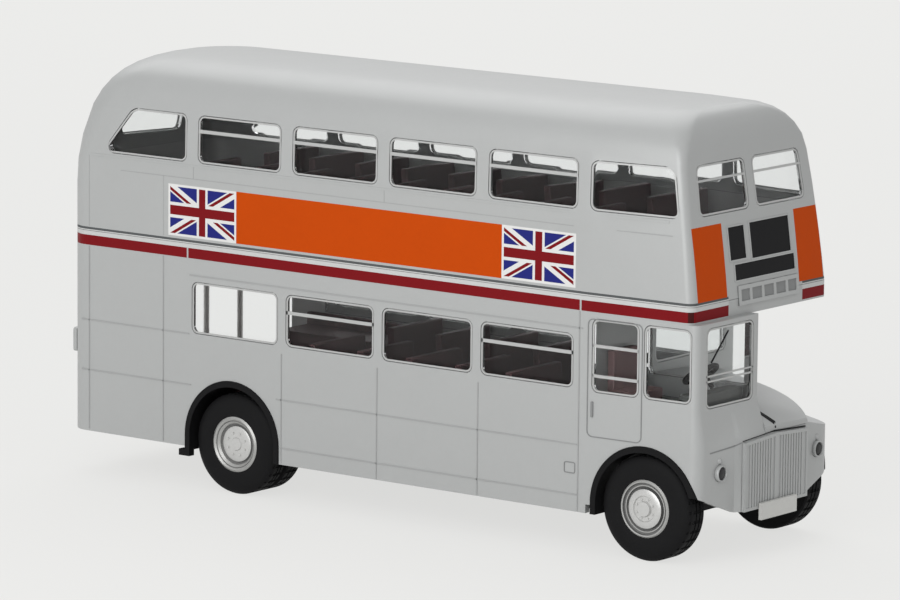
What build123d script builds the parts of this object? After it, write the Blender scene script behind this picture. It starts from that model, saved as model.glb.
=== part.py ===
from build123d import *
from math import pi, sin
import os

# Scale model of a half-cab double deck bus with an open rear platform.
# Millimetres. +X is the front of the bus, +Y its nearside (the platform side), +Z up.
# The origin is on the ground, under the middle of the model's box.

# Running gear
WHEELBASE = 58.95
REAR_AXLE_X = -20.9
TYRE_R = 6.0
TYRE_WIDTH, TWIN_TYRE_WIDTH = 3.1, 5.6
TYRE_EDGE_R = 0.55
TWIN_GROOVE = 0.9
RIM_R = 3.3
AXLE_R = 0.8
AXLE_FIT = 0.05
HUB_FIT = 0.02
HUB_BORE_SHARE = 0.6
WHEEL_FACE_INSET = 0.6
ARCH_R = 7.1
REAR_ARCH_RISE = 0.5
FRONT_ARCH_DEPTH = 2.4
GUARD = 0.7
GUARD_GAP = 0.05
GUARD_PROUD = 0.15
GUARD_DEPTH = 5.0
GUARD_FOOT_LENGTH, GUARD_FOOT_DROP, GUARD_FOOT_DEPTH = 0.9, 0.7, 0.75
FRONT_AXLE_X = REAR_AXLE_X + WHEELBASE
AXLE_Z = TYRE_R

# Body: outer planes, set out from the axles, and wall
BODY_WIDTH = 28.0
REAR_OVERHANG, PLATFORM_SETBACK, BULKHEAD_SETBACK = 25.5, 12.7, 7.75
DECK_OVERHANG, CAB_OVERHANG = 6.05, 6.8
WING_OVERHANG, LAMP_PANEL_OVERHANG, GRILLE_OVERHANG = 7.15, 7.55, 8.05
REAR_X = REAR_AXLE_X - REAR_OVERHANG
PLATFORM_X = REAR_AXLE_X - PLATFORM_SETBACK
BULKHEAD_X = FRONT_AXLE_X - BULKHEAD_SETBACK
DECK_FRONT_X = FRONT_AXLE_X + DECK_OVERHANG
CAB_FRONT_X = FRONT_AXLE_X + CAB_OVERHANG
WING_X = FRONT_AXLE_X + WING_OVERHANG
LAMP_PANEL_X = FRONT_AXLE_X + LAMP_PANEL_OVERHANG
GRILLE_X = FRONT_AXLE_X + GRILLE_OVERHANG
WALL = 0.8
SKIRT_Z = 4.6
REAR_SKIRT_RISE = 0.45
SPLIT_Z = 29.2
REAR_CORNER_R = 3.0
FRONT_CORNER_R = 1.0
JOINT_GAP = 0.05
HALF = BODY_WIDTH / 2
THROUGH = BODY_WIDTH

# Front: the sides draw in ahead of the bulkhead, more so the higher they are
FRONT_TAPER = 0.6
FRONT_HALF = HALF - FRONT_TAPER
TAPER_TOP_SHARE = 0.137

# Heights: the apron stands over the ground, the rest is set out from the joint of the two decks
APRON_Z, APRON_CORNER_Z, APRON_TOP_Z = 5.6, 8.0, 13.8
CANOPY_DEPTH, CAB_HEAD_DEPTH, ENTRY_HEAD_DEPTH = 1.9, 0.5, 3.0
UPPER_SILL_RISE, UPPER_HEAD_RISE, ROOF_RISE = 9.6, 15.3, 20.8
CANOPY_Z = SPLIT_Z - CANOPY_DEPTH
NOSE_HEIGHT = CANOPY_Z - APRON_TOP_Z
CAB_HEAD_Z = CANOPY_Z - CAB_HEAD_DEPTH
CAB_SILL_Z = APRON_TOP_Z + 0.341 * NOSE_HEIGHT
SCREEN_SILL_Z = APRON_TOP_Z + 0.289 * NOSE_HEIGHT
CAB_CEILING = 0.4
PLATFORM_Z = 6.4
LOWER_FLOOR_Z = 8.4
LOWER_HEIGHT = SPLIT_Z - LOWER_FLOOR_Z
LOWER_SILL_Z = LOWER_FLOOR_Z + 0.49 * LOWER_HEIGHT
LOWER_HEAD_Z = LOWER_FLOOR_Z + 0.788 * LOWER_HEIGHT
ENTRY_HEAD_Z = SPLIT_Z - ENTRY_HEAD_DEPTH
UPPER_SILL_Z = SPLIT_Z + UPPER_SILL_RISE
UPPER_HEAD_Z = SPLIT_Z + UPPER_HEAD_RISE
ROOF_Z = SPLIT_Z + ROOF_RISE

# Upper deck: the front leans back, and the roof is a dome with its own start and depth on each side
FRONT_LEAN, FRONT_LEAN_POWER = 2.32, 1.3
ROOF_FLAT_HALF = 3.0
SIDE_DOME_RISE, REAR_DOME_RISE, FRONT_DOME_RISE = 11.3, 7.3, 16.3
SIDE_DOME_Z, SIDE_DOME_DEPTH, SIDE_DOME_POWER = SPLIT_Z + SIDE_DOME_RISE, HALF - ROOF_FLAT_HALF, 3.4
REAR_DOME_Z, REAR_DOME_DEPTH, REAR_DOME_POWER = SPLIT_Z + REAR_DOME_RISE, 7.5, 2.0
FRONT_DOME_Z, FRONT_DOME_DEPTH, FRONT_DOME_POWER = SPLIT_Z + FRONT_DOME_RISE, 3.4, 2.3
REAR_CORNER_GROWTH, FRONT_CORNER_GROWTH = 3.5, 2.0
CORNER_SHARE = 0.8
WALL_STEPS, DOME_STEPS = 4, 8

# Window bays, shared by both decks
UPPER_BAYS, LOWER_BAYS = 6, 4
REAR_PANEL_LENGTH, LAST_BAY_INSET = 6.05, 0.1
BAY_START_X = REAR_X + REAR_PANEL_LENGTH
BAY_PITCH = (BULKHEAD_X + LAST_BAY_INSET - BAY_START_X) / (UPPER_BAYS - 1)
PILLAR, LOWER_PILLAR, LOWER_BAY_SHIFT = 1.65, 1.15, 0.35
WINDOW_LENGTH = BAY_PITCH - PILLAR
WINDOW_R = 0.9
REAR_QUARTER_EXTRA, REAR_QUARTER_RAKE = 0.6, 4.7
FRONT_PILLAR = 0.9
FRONT_WINDOW_EDGE, FRONT_WINDOW_PILLAR = 2.4, 1.3
REAR_WINDOW_EDGE, REAR_WINDOW_RISE = 8.5, 1.0
REAR_WINDOW_WIDTH = BODY_WIDTH - 2 * REAR_WINDOW_EDGE

# Half cab and front end
CAB_INNER_Y = -1.7
CAB_CORNER_R = 0.9
DOOR_PILLAR, DOOR_WINDOW_LENGTH, CAB_FRONT_PILLAR = 0.6, 6.3, 0.75
DOOR_WINDOW_X = (BULKHEAD_X + DOOR_PILLAR, BULKHEAD_X + DOOR_PILLAR + DOOR_WINDOW_LENGTH)
CAB_WINDOW_X = (DOOR_WINDOW_X[1] + DOOR_PILLAR, CAB_FRONT_X - CAB_FRONT_PILLAR)
SCREEN_EDGE = 0.8
APRON_WALL = 0.5
OFFSIDE_WING_R, NEARSIDE_WING_R = 1.4, 3.0
WING_FALL, WING_FALL_LEAD = 0.3, -0.55
WING_FALL_X = FRONT_AXLE_X + WING_FALL_LEAD
GRILLE_HALF_WIDTH = 0.45 * HALF
BONNET_TABLE = (
    # x share of the length, top's share of the nose height at the cab and nearside, edge inset, shoulder
    (0.0, 0.385, 0.33, 1.8, 3.4),
    (0.45, 0.33, 0.225, 2.6, 2.4),
    (0.80, 0.25, 0.135, 4.6, 1.4),
    (1.0, 0.059, 0.045, 7.2, 0.4),
)
BONNET_TOP_Z = APRON_TOP_Z + BONNET_TABLE[0][1] * NOSE_HEIGHT

# Rear platform, open at the nearside corner
ENTRY_Y = 0.8
STAIR_WIDTH, STAIR_STEPS = 5.4, 7
POLE_R = 0.35
POLE_PLACES = (
    # x from the rear, y in from the nearside
    (1.2, 3.1),
    (5.3, 1.6),
)

# Clear inserts
GLASS = 0.5
PANE_GAP = 0.08
PANE_SINK = 0.15
GLASS_LAP = 0.9

# Saloons
FLOOR = 0.9
SEAT_WIDTH = 9.6
SEAT_SIDE_GAP = 0.45
SEAT_CUSHION, SEAT_BACK, SEAT_DEPTH = 4.4, 0.9, 4.4
UPPER_SEAT_HEIGHT, LOWER_SEAT_HEIGHT = 9.0, 10.6
UPPER_SEAT_ROWS, LOWER_SEAT_ROWS = 9, 5
UPPER_LEG_ROOM, LOWER_LEG_ROOM = 17.3, 12.05
BENCH_RISE = 1.75

# Steering wheel
WHEEL_RIM_R, WHEEL_ROD_R = 1.7, 0.28
COLUMN_LENGTH, COLUMN_RAKE = 1.9, 40

# Chassis
CHASSIS_Z, CHASSIS_PLATE = 4.7, 0.7
NOSE_PLATE_Z, NOSE_PLATE_SETBACK = 7.0, 2.0
RAIL_Y, RAIL_WIDTH, RAIL_Z = 4.0, 1.3, 3.4
BEARING_LENGTH, BEARING_RISE, BEARING_DROP, BEARING_HALF = 4.4, 1.5, 1.2, 6.2
WHEEL_WELL_GAP = 0.9
DIFFERENTIAL_R = 1.82
GEARBOX_SETBACK, GEARBOX_LENGTH = 17.0, 8.0
TANK_LEAD, TANK_LENGTH, TANK_WIDTH, TANK_Z = 18.0, 14.0, 2.6, 3.6
GEARBOX_X = FRONT_AXLE_X - GEARBOX_SETBACK
TANK_X = REAR_AXLE_X + TANK_LEAD

# Lamps, grille and plates
LAMP_INSET, LAMP_Z, LAMP_R = 4.4, 10.4, 0.95
LAMP_Y = HALF - LAMP_INSET
LAMP_DEPTH, LAMP_PROUD, LAMP_FIT, LAMP_EDGE_R = 0.9, 0.35, 0.03, 0.28
GRILLE_BOTTOM_Z, GRILLE_PLATE = APRON_Z, 0.3
GRILLE_RIB, GRILLE_RIB_PITCH, GRILLE_RIB_WIDTH = 0.1, 0.52, 0.26
GRILLE_FRAME = 0.7
GRILLE_TOP_DROP, GRILLE_PEAK = 0.4, 0.35
PLATE_WIDTH, PLATE_HEIGHT, PLATE_THICK, PLATE_DROP = 7.0, 1.9, 0.4, 0.3
TAIL_BOX_WIDTH, TAIL_BOX_HEIGHT, TAIL_BOX_Z = 2.8, 2.9, 14.0
TAIL_BOX_PROUD, TAIL_BOX_R, TAIL_BOX_LAP = 0.6, 0.36, 1.2


def block(x, y, z):
    """A box from its low and high limits on each axis."""
    size = [high - low for low, high in (x, y, z)]
    middle = [(high + low) / 2 for low, high in (x, y, z)]
    return Pos(*middle) * Box(*size)


def side_prism(sketch, y_low, y_high):
    """Extrudes a sketch drawn in X and Z from y_low to y_high."""
    plane = Plane(origin=(0, y_high, 0), x_dir=(1, 0, 0), z_dir=(0, -1, 0))
    return extrude(plane * sketch, amount=y_high - y_low)


def front_prism(sketch, x_low, x_high):
    """Extrudes a sketch drawn in Y and Z from x_low to x_high."""
    plane = Plane(origin=(x_low, 0, 0), x_dir=(0, 1, 0), z_dir=(1, 0, 0))
    return extrude(plane * sketch, amount=x_high - x_low)


def upright(plan, z_low, z_high):
    """Extrudes a plan from z_low to z_high."""
    return extrude(Pos(0, 0, z_low) * plan, amount=z_high - z_low)


def mirrored(sign, outer, inner):
    """Low and high y of a piece that lies between two distances from the middle on one side."""
    return sorted((sign * outer, sign * inner))


def rounded(corners, radii):
    """A face from its corners, each with its own radius."""
    return make_face(FilletPolyline(*corners, radius=radii, close=True))


def pane(across, up, inset=0.0):
    """A window's outline from its limits, drawn smaller by inset."""
    width = across[1] - across[0] - 2 * inset
    height = up[1] - up[0] - 2 * inset
    shape = RectangleRounded(width, height, WINDOW_R - inset)
    return Pos((across[0] + across[1]) / 2, (up[0] + up[1]) / 2) * shape


def body_plan(rear_x, front_x, half, front_half, rear_r, front_r):
    """Plan of the body: square-sided to the bulkhead, then drawn in to the front."""
    corners = [
        (front_x, -front_half),
        (front_x, front_half),
        (BULKHEAD_X, half),
        (rear_x, half),
        (rear_x, -half),
        (BULKHEAD_X, -half),
    ]
    return rounded(corners, [front_r, front_r, 0, rear_r, rear_r, 0])


def dome_inset(z, start_z, top_z, depth, power):
    """How far a dome's edge has moved inwards at height z, on a rounded square curve."""
    rise = min(max((z - start_z) / (top_z - start_z), 0.0), 1.0)
    return depth * (1 - (1 - rise**power) ** (1 / power))


def deck_front(z):
    """The upper deck's front at height z: upright at the canopy and leaning back more and more."""
    return DECK_FRONT_X - FRONT_LEAN * ((z - CANOPY_Z) / (UPPER_HEAD_Z - CANOPY_Z)) ** FRONT_LEAN_POWER


def front_share(z):
    """The front's width at height z as a share of the body's."""
    low = FRONT_HALF / HALF
    return low + (1 - TAPER_TOP_SHARE - low) * (z - SPLIT_Z) / (ROOF_Z - SPLIT_Z)


def deck_plan(z, offset, top_z):
    """Plan of the upper deck's outside at height z, drawn inwards by offset."""
    half = HALF - offset - dome_inset(z, SIDE_DOME_Z, top_z, SIDE_DOME_DEPTH, SIDE_DOME_POWER)
    rear = REAR_X + offset + dome_inset(z, REAR_DOME_Z, top_z, REAR_DOME_DEPTH, REAR_DOME_POWER)
    front = deck_front(z) - offset
    front -= dome_inset(z, FRONT_DOME_Z, top_z, FRONT_DOME_DEPTH, FRONT_DOME_POWER)
    front_half = half * front_share(z)
    rear_rise = max((z - REAR_DOME_Z) / (top_z - REAR_DOME_Z), 0.0)
    front_rise = max((z - FRONT_DOME_Z) / (top_z - FRONT_DOME_Z), 0.0)
    rear_r = min(REAR_CORNER_R + REAR_CORNER_GROWTH * rear_rise, CORNER_SHARE * half) - offset / 2
    front_r = min(FRONT_CORNER_R + FRONT_CORNER_GROWTH * front_rise, CORNER_SHARE * front_half) - offset / 2
    return body_plan(rear, front, half, front_half, rear_r, front_r)


def dome(offset=0.0, bottom_z=SPLIT_Z + JOINT_GAP):
    """The upper deck's outside, drawn inwards by offset on every side but the bottom."""
    top_z = ROOF_Z - offset
    levels = [bottom_z + (SIDE_DOME_Z - bottom_z) * step / WALL_STEPS for step in range(WALL_STEPS)]
    for step in range(DOME_STEPS + 1):
        rise = sin(pi / 2 * step / DOME_STEPS) ** (2 / SIDE_DOME_POWER)
        levels.append(SIDE_DOME_Z + (top_z - SIDE_DOME_Z) * rise)
    return loft([Pos(0, 0, z) * deck_plan(z, offset, top_z) for z in levels], ruled=True)


def bay(index):
    """Low and high x of a window bay, counted from the rear."""
    low = BAY_START_X + BAY_PITCH * index
    return (low, low + WINDOW_LENGTH)


def upper_side_windows(inset=0.0):
    """The upper deck's side windows as sketches; the end ones follow the rake of the ends."""
    low_z, high_z = UPPER_SILL_Z + inset, UPPER_HEAD_Z - inset
    low, high = bay(0)
    low += inset - REAR_QUARTER_EXTRA
    high -= inset
    corners = [(low, low_z), (high, low_z), (high, high_z), (low + REAR_QUARTER_RAKE, high_z)]
    rear = rounded(corners, [WINDOW_R, WINDOW_R, WINDOW_R, 2 * WINDOW_R])
    low = bay(UPPER_BAYS - 1)[0] + inset
    sill_x = deck_front(UPPER_SILL_Z) - FRONT_PILLAR - inset
    head_x = deck_front(UPPER_HEAD_Z) - FRONT_PILLAR - inset
    corners = [(low, low_z), (sill_x, low_z), (head_x, high_z), (low, high_z)]
    front = rounded(corners, [WINDOW_R, WINDOW_R, 2 * WINDOW_R, WINDOW_R])
    up = (UPPER_SILL_Z, UPPER_HEAD_Z)
    return [rear, front] + [pane(bay(i), up, inset) for i in range(1, UPPER_BAYS - 1)]


def upper_front_windows(inset=0.0):
    """The two front windows of the upper deck, with outer edges that follow the body's sides."""
    low_z, high_z = UPPER_SILL_Z + inset, UPPER_HEAD_Z - inset
    inner = FRONT_WINDOW_PILLAR / 2 + inset
    sill_y = HALF * front_share(UPPER_SILL_Z) - FRONT_WINDOW_EDGE - inset
    head_y = HALF * front_share(UPPER_HEAD_Z) - FRONT_WINDOW_EDGE - inset
    half = [(inner, low_z), (sill_y, low_z), (head_y, high_z), (inner, high_z)]
    radii = [WINDOW_R - inset] * len(half)
    return [rounded([(sign * y, z) for y, z in half], radii) for sign in (-1, 1)]


def rear_window(inset=0.0):
    """The emergency window at the rear of the upper deck."""
    half = REAR_WINDOW_WIDTH / 2
    return pane((-half, half), (UPPER_SILL_Z + REAR_WINDOW_RISE, UPPER_HEAD_Z), inset)


def upper_openings(inset=0.0):
    """Prisms through every upper deck window."""
    depth = 4 * WALL
    cuts = []
    for sketch in upper_side_windows(inset):
        cuts.append(side_prism(sketch, -THROUGH, -HALF + depth))
        cuts.append(side_prism(sketch, HALF - depth, THROUGH))
    front = deck_front(UPPER_HEAD_Z) - depth
    cuts += [front_prism(sketch, front, GRILLE_X) for sketch in upper_front_windows(inset)]
    cuts.append(front_prism(rear_window(inset), REAR_X - WALL, PLATFORM_X))
    return cuts


def make_upper_shell():
    """The upper deck's outside walls and roof in one moulding."""
    shell = dome() - dome(WALL, SPLIT_Z - WALL)
    return shell - upper_openings()


def make_upper_glazing():
    """One clear insert: a sleeve inside the shell with the panes standing out into the windows."""
    sleeve_offset = WALL + JOINT_GAP
    up = (UPPER_SILL_Z - GLASS_LAP, UPPER_HEAD_Z + GLASS_LAP)
    band = block((REAR_X, GRILLE_X), (-HALF, HALF), up)
    sleeve = (dome(sleeve_offset) - dome(sleeve_offset + GLASS)) & band
    skin = (dome(PANE_SINK) - dome(sleeve_offset + GLASS / 2)) & band
    for prism in upper_openings(PANE_GAP):
        sleeve += skin & prism
    return sleeve


def lower_plan(offset=0.0):
    """Plan of the lower deck and the canopy, drawn inwards by offset."""
    rear_r, front_r = REAR_CORNER_R - offset, FRONT_CORNER_R - offset / 2
    front_x = deck_front(SPLIT_Z) - offset
    return body_plan(REAR_X + offset, front_x, HALF - offset, FRONT_HALF - offset, rear_r, front_r)


def nose_plan(fronts, corner_r, offset=0.0):
    """Plan of the offside front end at one height: fronts are its x at the corner, panel and grille."""
    corner_x, panel_x, grille_x = fronts
    back = BULKHEAD_X - WALL
    inner = CAB_INNER_Y - offset
    corners = [
        (back, -HALF + offset),
        (BULKHEAD_X, -HALF + offset),
        (corner_x - offset, -FRONT_HALF + offset),
        (panel_x - offset, -GRILLE_HALF_WIDTH - GRILLE_FRAME),
        (grille_x - offset, -GRILLE_HALF_WIDTH),
        (grille_x - offset, inner),
        (back, inner),
    ]
    return rounded(corners, [0, 0, corner_r - offset / 2, 0, 0, 0, 0])


def cab_plan(offset=0.0):
    """Plan of the half cab, drawn inwards by offset."""
    return nose_plan((CAB_FRONT_X, CAB_FRONT_X, CAB_FRONT_X), CAB_CORNER_R, offset)


def apron_plan(offset=0.0):
    """Plan of the wings and the front panel, with the grille standing forward in the middle."""
    half_plan = [
        (BULKHEAD_X - WALL - offset, HALF - offset),
        (BULKHEAD_X, HALF - offset),
        (WING_X - offset, FRONT_HALF - offset),
        (LAMP_PANEL_X - offset, GRILLE_HALF_WIDTH + GRILLE_FRAME - offset),
        (GRILLE_X - offset, GRILLE_HALF_WIDTH - offset),
    ]
    corners = half_plan + [(x, -y) for x, y in reversed(half_plan)]
    near_r, off_r = NEARSIDE_WING_R - 2 * offset, OFFSIDE_WING_R - offset
    return rounded(corners, [0, 0, near_r, 0, 0, 0, 0, off_r, 0, 0])


def wing_plane(drop):
    """The falling top of the nearside wing, lowered by drop."""
    start = Vector(WING_FALL_X, HALF, APRON_TOP_Z - drop)
    end = Vector(GRILLE_X, GRILLE_HALF_WIDTH + GRILLE_FRAME, APRON_TOP_Z - drop)
    along = (end - start).normalized()
    out = Vector(-along.Y, along.X, 0)
    return Plane(origin=start, x_dir=along, z_dir=Vector(WING_FALL * out.X, WING_FALL * out.Y, 1))


def nose_solid(offset, z_low, z_high):
    """The front end from z_low to z_high, drawn inwards by offset, with the nearside wing falling away."""
    nose = upright(apron_plan(offset), z_low, z_high)
    everything = (BULKHEAD_X - 2 * WALL, GRILLE_X + WALL)
    offside = nose & block(everything, (-THROUGH, CAB_INNER_Y), (0, THROUGH))
    nearside = nose & block(everything, (CAB_INNER_Y, THROUGH), (0, THROUGH))
    return offside + split(nearside, wing_plane(offset), keep=Keep.BOTTOM)


def apron_rise():
    """The space under the front panel, whose bottom edge climbs from the grille to each corner."""
    low_y = GRILLE_HALF_WIDTH + GRILLE_FRAME
    cuts = []
    for sign in (-1, 1):
        edge = [(low_y, APRON_Z), (FRONT_HALF, APRON_CORNER_Z), (THROUGH, APRON_CORNER_Z)]
        corners = edge + [(THROUGH, 0), (low_y, 0)]
        outline = make_face(Polyline(*[(sign * y, z) for y, z in corners], close=True))
        cuts.append(front_prism(outline, FRONT_AXLE_X, GRILLE_X + WALL))
    return cuts


def lower_bays():
    """The saloon's bays, a little behind the upper deck's second bay onwards, with thinner pillars."""
    highs = [bay(i)[1] - LOWER_BAY_SHIFT for i in range(1, LOWER_BAYS + 1)]
    return [(high - BAY_PITCH + LOWER_PILLAR, high) for high in highs]


def lower_side_windows(inset=0.0):
    """The saloon's side windows as sketches."""
    return [pane(b, (LOWER_SILL_Z, LOWER_HEAD_Z), inset) for b in lower_bays()]


def bulkhead_window(inset=0.0):
    """The window from the saloon over the bonnet."""
    across = (CAB_INNER_Y + 2 * WALL, HALF - 2 * WALL)
    return pane(across, (BONNET_TOP_Z + WALL, CAB_HEAD_Z), inset)


def cab_openings(inset=0.0):
    """Prisms through the half cab's windows: door, side, windscreen and nearside."""
    cuts = []
    for x in (DOOR_WINDOW_X, CAB_WINDOW_X):
        cuts.append(side_prism(pane(x, (CAB_SILL_Z, CAB_HEAD_Z), inset), -THROUGH, -HALF + 4 * WALL))
    near = pane((DOOR_WINDOW_X[0], CAB_WINDOW_X[1]), (BONNET_TOP_Z, CAB_HEAD_Z), inset)
    cuts.append(side_prism(near, CAB_INNER_Y - 2 * WALL, CAB_INNER_Y + WALL))
    across = (-FRONT_HALF + CAB_CORNER_R + SCREEN_EDGE, CAB_INNER_Y - SCREEN_EDGE)
    screen = pane(across, (SCREEN_SILL_Z, CAB_HEAD_Z), inset)
    cuts.append(front_prism(screen, CAB_FRONT_X - 2 * WALL, CAB_FRONT_X + WALL))
    return cuts


def arch_cut(axle_x, rise, y_sign, depth):
    """The opening for one wheel arch: a half round with straight legs down past the skirt."""
    y = mirrored(y_sign, HALF - depth, HALF + WALL)
    centre_z = AXLE_Z + rise
    round_part = side_prism(Pos(axle_x, centre_z) * Circle(ARCH_R), *y)
    legs = block((axle_x - ARCH_R, axle_x + ARCH_R), y, (-WALL, centre_z))
    return round_part + legs


def make_lower_shell():
    """The lower deck's walls, half cab, front panel and wings in one moulding."""
    inner_half = HALF - WALL
    wide = (-THROUGH, THROUGH)
    behind = block((REAR_X, BULKHEAD_X), wide, (0, ROOF_Z))
    saloon = upright(lower_plan(), SKIRT_Z, SPLIT_Z) & behind
    ahead = block((BULKHEAD_X - WALL, GRILLE_X), wide, (0, ROOF_Z))
    canopy = upright(lower_plan(), CANOPY_Z, SPLIT_Z) & ahead
    cab = upright(cab_plan(), SCREEN_SILL_Z, CANOPY_Z)
    scuttle_foot = nose_plan((WING_X, LAMP_PANEL_X, GRILLE_X), OFFSIDE_WING_R)
    scuttle = loft([Pos(0, 0, APRON_TOP_Z) * scuttle_foot, Pos(0, 0, SCREEN_SILL_Z) * cab_plan()], ruled=True)
    shell = saloon + nose_solid(0.0, APRON_Z, APRON_TOP_Z) + scuttle + cab + canopy

    saloon_x = (REAR_X, BULKHEAD_X - WALL)
    shell -= upright(lower_plan(WALL), SKIRT_Z - WALL, SPLIT_Z + WALL) & block(saloon_x, wide, (0, ROOF_Z))
    front_x = (BULKHEAD_X, GRILLE_X)
    bay_top = APRON_TOP_Z - APRON_WALL
    shell -= nose_solid(APRON_WALL, SKIRT_Z, bay_top) & block(front_x, wide, (0, ROOF_Z))
    shell -= block((BULKHEAD_X - 2 * WALL, BULKHEAD_X + WALL), (-inner_half, inner_half), (0, LOWER_FLOOR_Z))
    offside = block(front_x, (-THROUGH, CAB_INNER_Y - WALL), (0, ROOF_Z))
    nearside = block(front_x, (CAB_INNER_Y - WALL, THROUGH), (0, ROOF_Z))
    shell -= upright(cab_plan(WALL), APRON_TOP_Z, CANOPY_Z - CAB_CEILING) & offside
    shell -= upright(lower_plan(WALL), CANOPY_Z - WALL, SPLIT_Z + WALL) & offside
    shell -= upright(lower_plan(WALL), CANOPY_Z + WALL, SPLIT_Z + WALL) & nearside
    shell -= upright(lower_plan(WALL), SPLIT_Z - 2 * JOINT_GAP - FLOOR, SPLIT_Z + FLOOR)

    for sign in (-1, 1):
        shell -= arch_cut(FRONT_AXLE_X, 0, sign, FRONT_ARCH_DEPTH)
        shell -= arch_cut(REAR_AXLE_X, REAR_ARCH_RISE, sign, 2 * WALL)
        lamp = Pos(sign * LAMP_Y, LAMP_Z) * Circle(LAMP_R + LAMP_FIT)
        shell -= front_prism(lamp, WING_X - 2 * WALL, GRILLE_X)
    shell -= apron_rise()
    shell -= block((REAR_X - WALL, REAR_AXLE_X - ARCH_R), wide, (0, SKIRT_Z + REAR_SKIRT_RISE))
    shell -= block((REAR_X - WALL, PLATFORM_X), (ENTRY_Y, HALF + WALL), (PLATFORM_Z, ENTRY_HEAD_Z))
    for sketch in lower_side_windows():
        shell -= side_prism(sketch, -THROUGH, THROUGH)
    shell -= cab_openings()
    return shell - front_prism(bulkhead_window(), BULKHEAD_X - 2 * WALL, BULKHEAD_X + WALL)


def make_lower_glazing():
    """Flat clear strips behind the saloon's side windows and the bulkhead window."""
    up = (LOWER_SILL_Z - GLASS_LAP, LOWER_HEAD_Z + GLASS_LAP)
    face = HALF - WALL - JOINT_GAP
    x = (lower_bays()[0][0] - GLASS_LAP, lower_bays()[-1][1] + GLASS_LAP / 2)
    strips = []
    for sign in (-1, 1):
        strip = block(x, mirrored(sign, face, face - GLASS), up)
        y = mirrored(sign, face - GLASS / 2, HALF - PANE_SINK)
        for sketch in lower_side_windows(PANE_GAP):
            strip += side_prism(sketch, *y)
        strips.append(strip)
    back = BULKHEAD_X - WALL - JOINT_GAP
    lap = pane((CAB_INNER_Y + WALL, face - GLASS - JOINT_GAP), (BONNET_TOP_Z, CAB_HEAD_Z + GLASS_LAP))
    bulkhead = front_prism(lap, back - GLASS, back)
    bulkhead += front_prism(bulkhead_window(PANE_GAP), back - GLASS / 2, BULKHEAD_X - PANE_SINK)
    strips.append(bulkhead)
    return Compound(strips)


def make_cab_glazing():
    """One clear insert round the half cab, with the panes standing out into the windows."""
    sleeve_offset = WALL + JOINT_GAP
    up = (SCREEN_SILL_Z - GLASS_LAP, CANOPY_Z - CAB_CEILING - JOINT_GAP)
    inside = block((BULKHEAD_X + PANE_GAP, CAB_FRONT_X), (-HALF, CAB_INNER_Y), up)
    sleeve = upright(cab_plan(sleeve_offset), *up) - upright(cab_plan(sleeve_offset + GLASS), *up)
    sleeve &= inside
    skin = upright(cab_plan(PANE_SINK), *up) - upright(cab_plan(sleeve_offset + GLASS / 2), *up)
    for prism in cab_openings(PANE_GAP):
        sleeve += skin & prism & inside
    return sleeve


def make_bonnet():
    """Bonnet over the engine bay, falling and narrowing from the bulkhead to the grille."""
    back, front = BULKHEAD_X + JOINT_GAP, GRILLE_X - JOINT_GAP
    base = APRON_TOP_Z + JOINT_GAP
    inner = CAB_INNER_Y + JOINT_GAP
    sections = []
    for share, rise, near_rise, edge_inset, shoulder in BONNET_TABLE:
        x = back + share * (front - back)
        top, near_top = (APRON_TOP_Z + r * NOSE_HEIGHT for r in (rise, near_rise))
        edge = HALF - edge_inset
        corners = [(inner, base), (edge, base), (edge, near_top), (inner, top)]
        shoulder_r = min(shoulder, (near_top - base) * CORNER_SHARE)
        plane = Plane(origin=(x, 0, 0), x_dir=(0, 1, 0), z_dir=(1, 0, 0))
        sections.append(plane * rounded(corners, [0, 0, shoulder_r, 0]))
    return loft(sections)


def grille_outline(inset=0.0):
    """The grille's outline, with its top edge peaked at the middle, drawn smaller by inset."""
    half = GRILLE_HALF_WIDTH - JOINT_GAP - inset
    low, high = GRILLE_BOTTOM_Z + inset, APRON_TOP_Z - GRILLE_TOP_DROP - inset
    top = [(half, high), (0, high + GRILLE_PEAK), (-half, high)]
    return make_face(Polyline((-half, low), (half, low), *top, close=True))


def make_grille():
    """Radiator grille: a framed plate with upright ribs and a wider middle bar."""
    face_x = GRILLE_X + JOINT_GAP
    proud = (face_x, face_x + GRILLE_PLATE + GRILLE_RIB)
    whole = front_prism(grille_outline(), *proud)
    grille = front_prism(grille_outline(), face_x, face_x + GRILLE_PLATE)
    grille += whole - front_prism(grille_outline(GRILLE_FRAME / 2), *proud)
    z = (GRILLE_BOTTOM_Z, APRON_TOP_Z)
    bars = [block(proud, (-GRILLE_FRAME / 2, GRILLE_FRAME / 2), z)]
    count = int((GRILLE_HALF_WIDTH - 2 * GRILLE_FRAME) / GRILLE_RIB_PITCH)
    for sign in (-1, 1):
        for i in range(count):
            y = GRILLE_FRAME + GRILLE_RIB_PITCH * (i + 0.5)
            rib_y = mirrored(sign, y - GRILLE_RIB_WIDTH / 2, y + GRILLE_RIB_WIDTH / 2)
            bars.append(block(proud, rib_y, z))
    for bar in bars:
        grille += bar & whole
    return grille


def make_front_plate():
    """Blank number plate at the foot of the grille."""
    x = GRILLE_X + 2 * JOINT_GAP + GRILLE_PLATE + GRILLE_RIB
    y = (-PLATE_WIDTH / 2, PLATE_WIDTH / 2)
    middle = GRILLE_BOTTOM_Z - PLATE_DROP
    return block((x, x + PLATE_THICK), y, (middle - PLATE_HEIGHT / 2, middle + PLATE_HEIGHT / 2))


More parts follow.
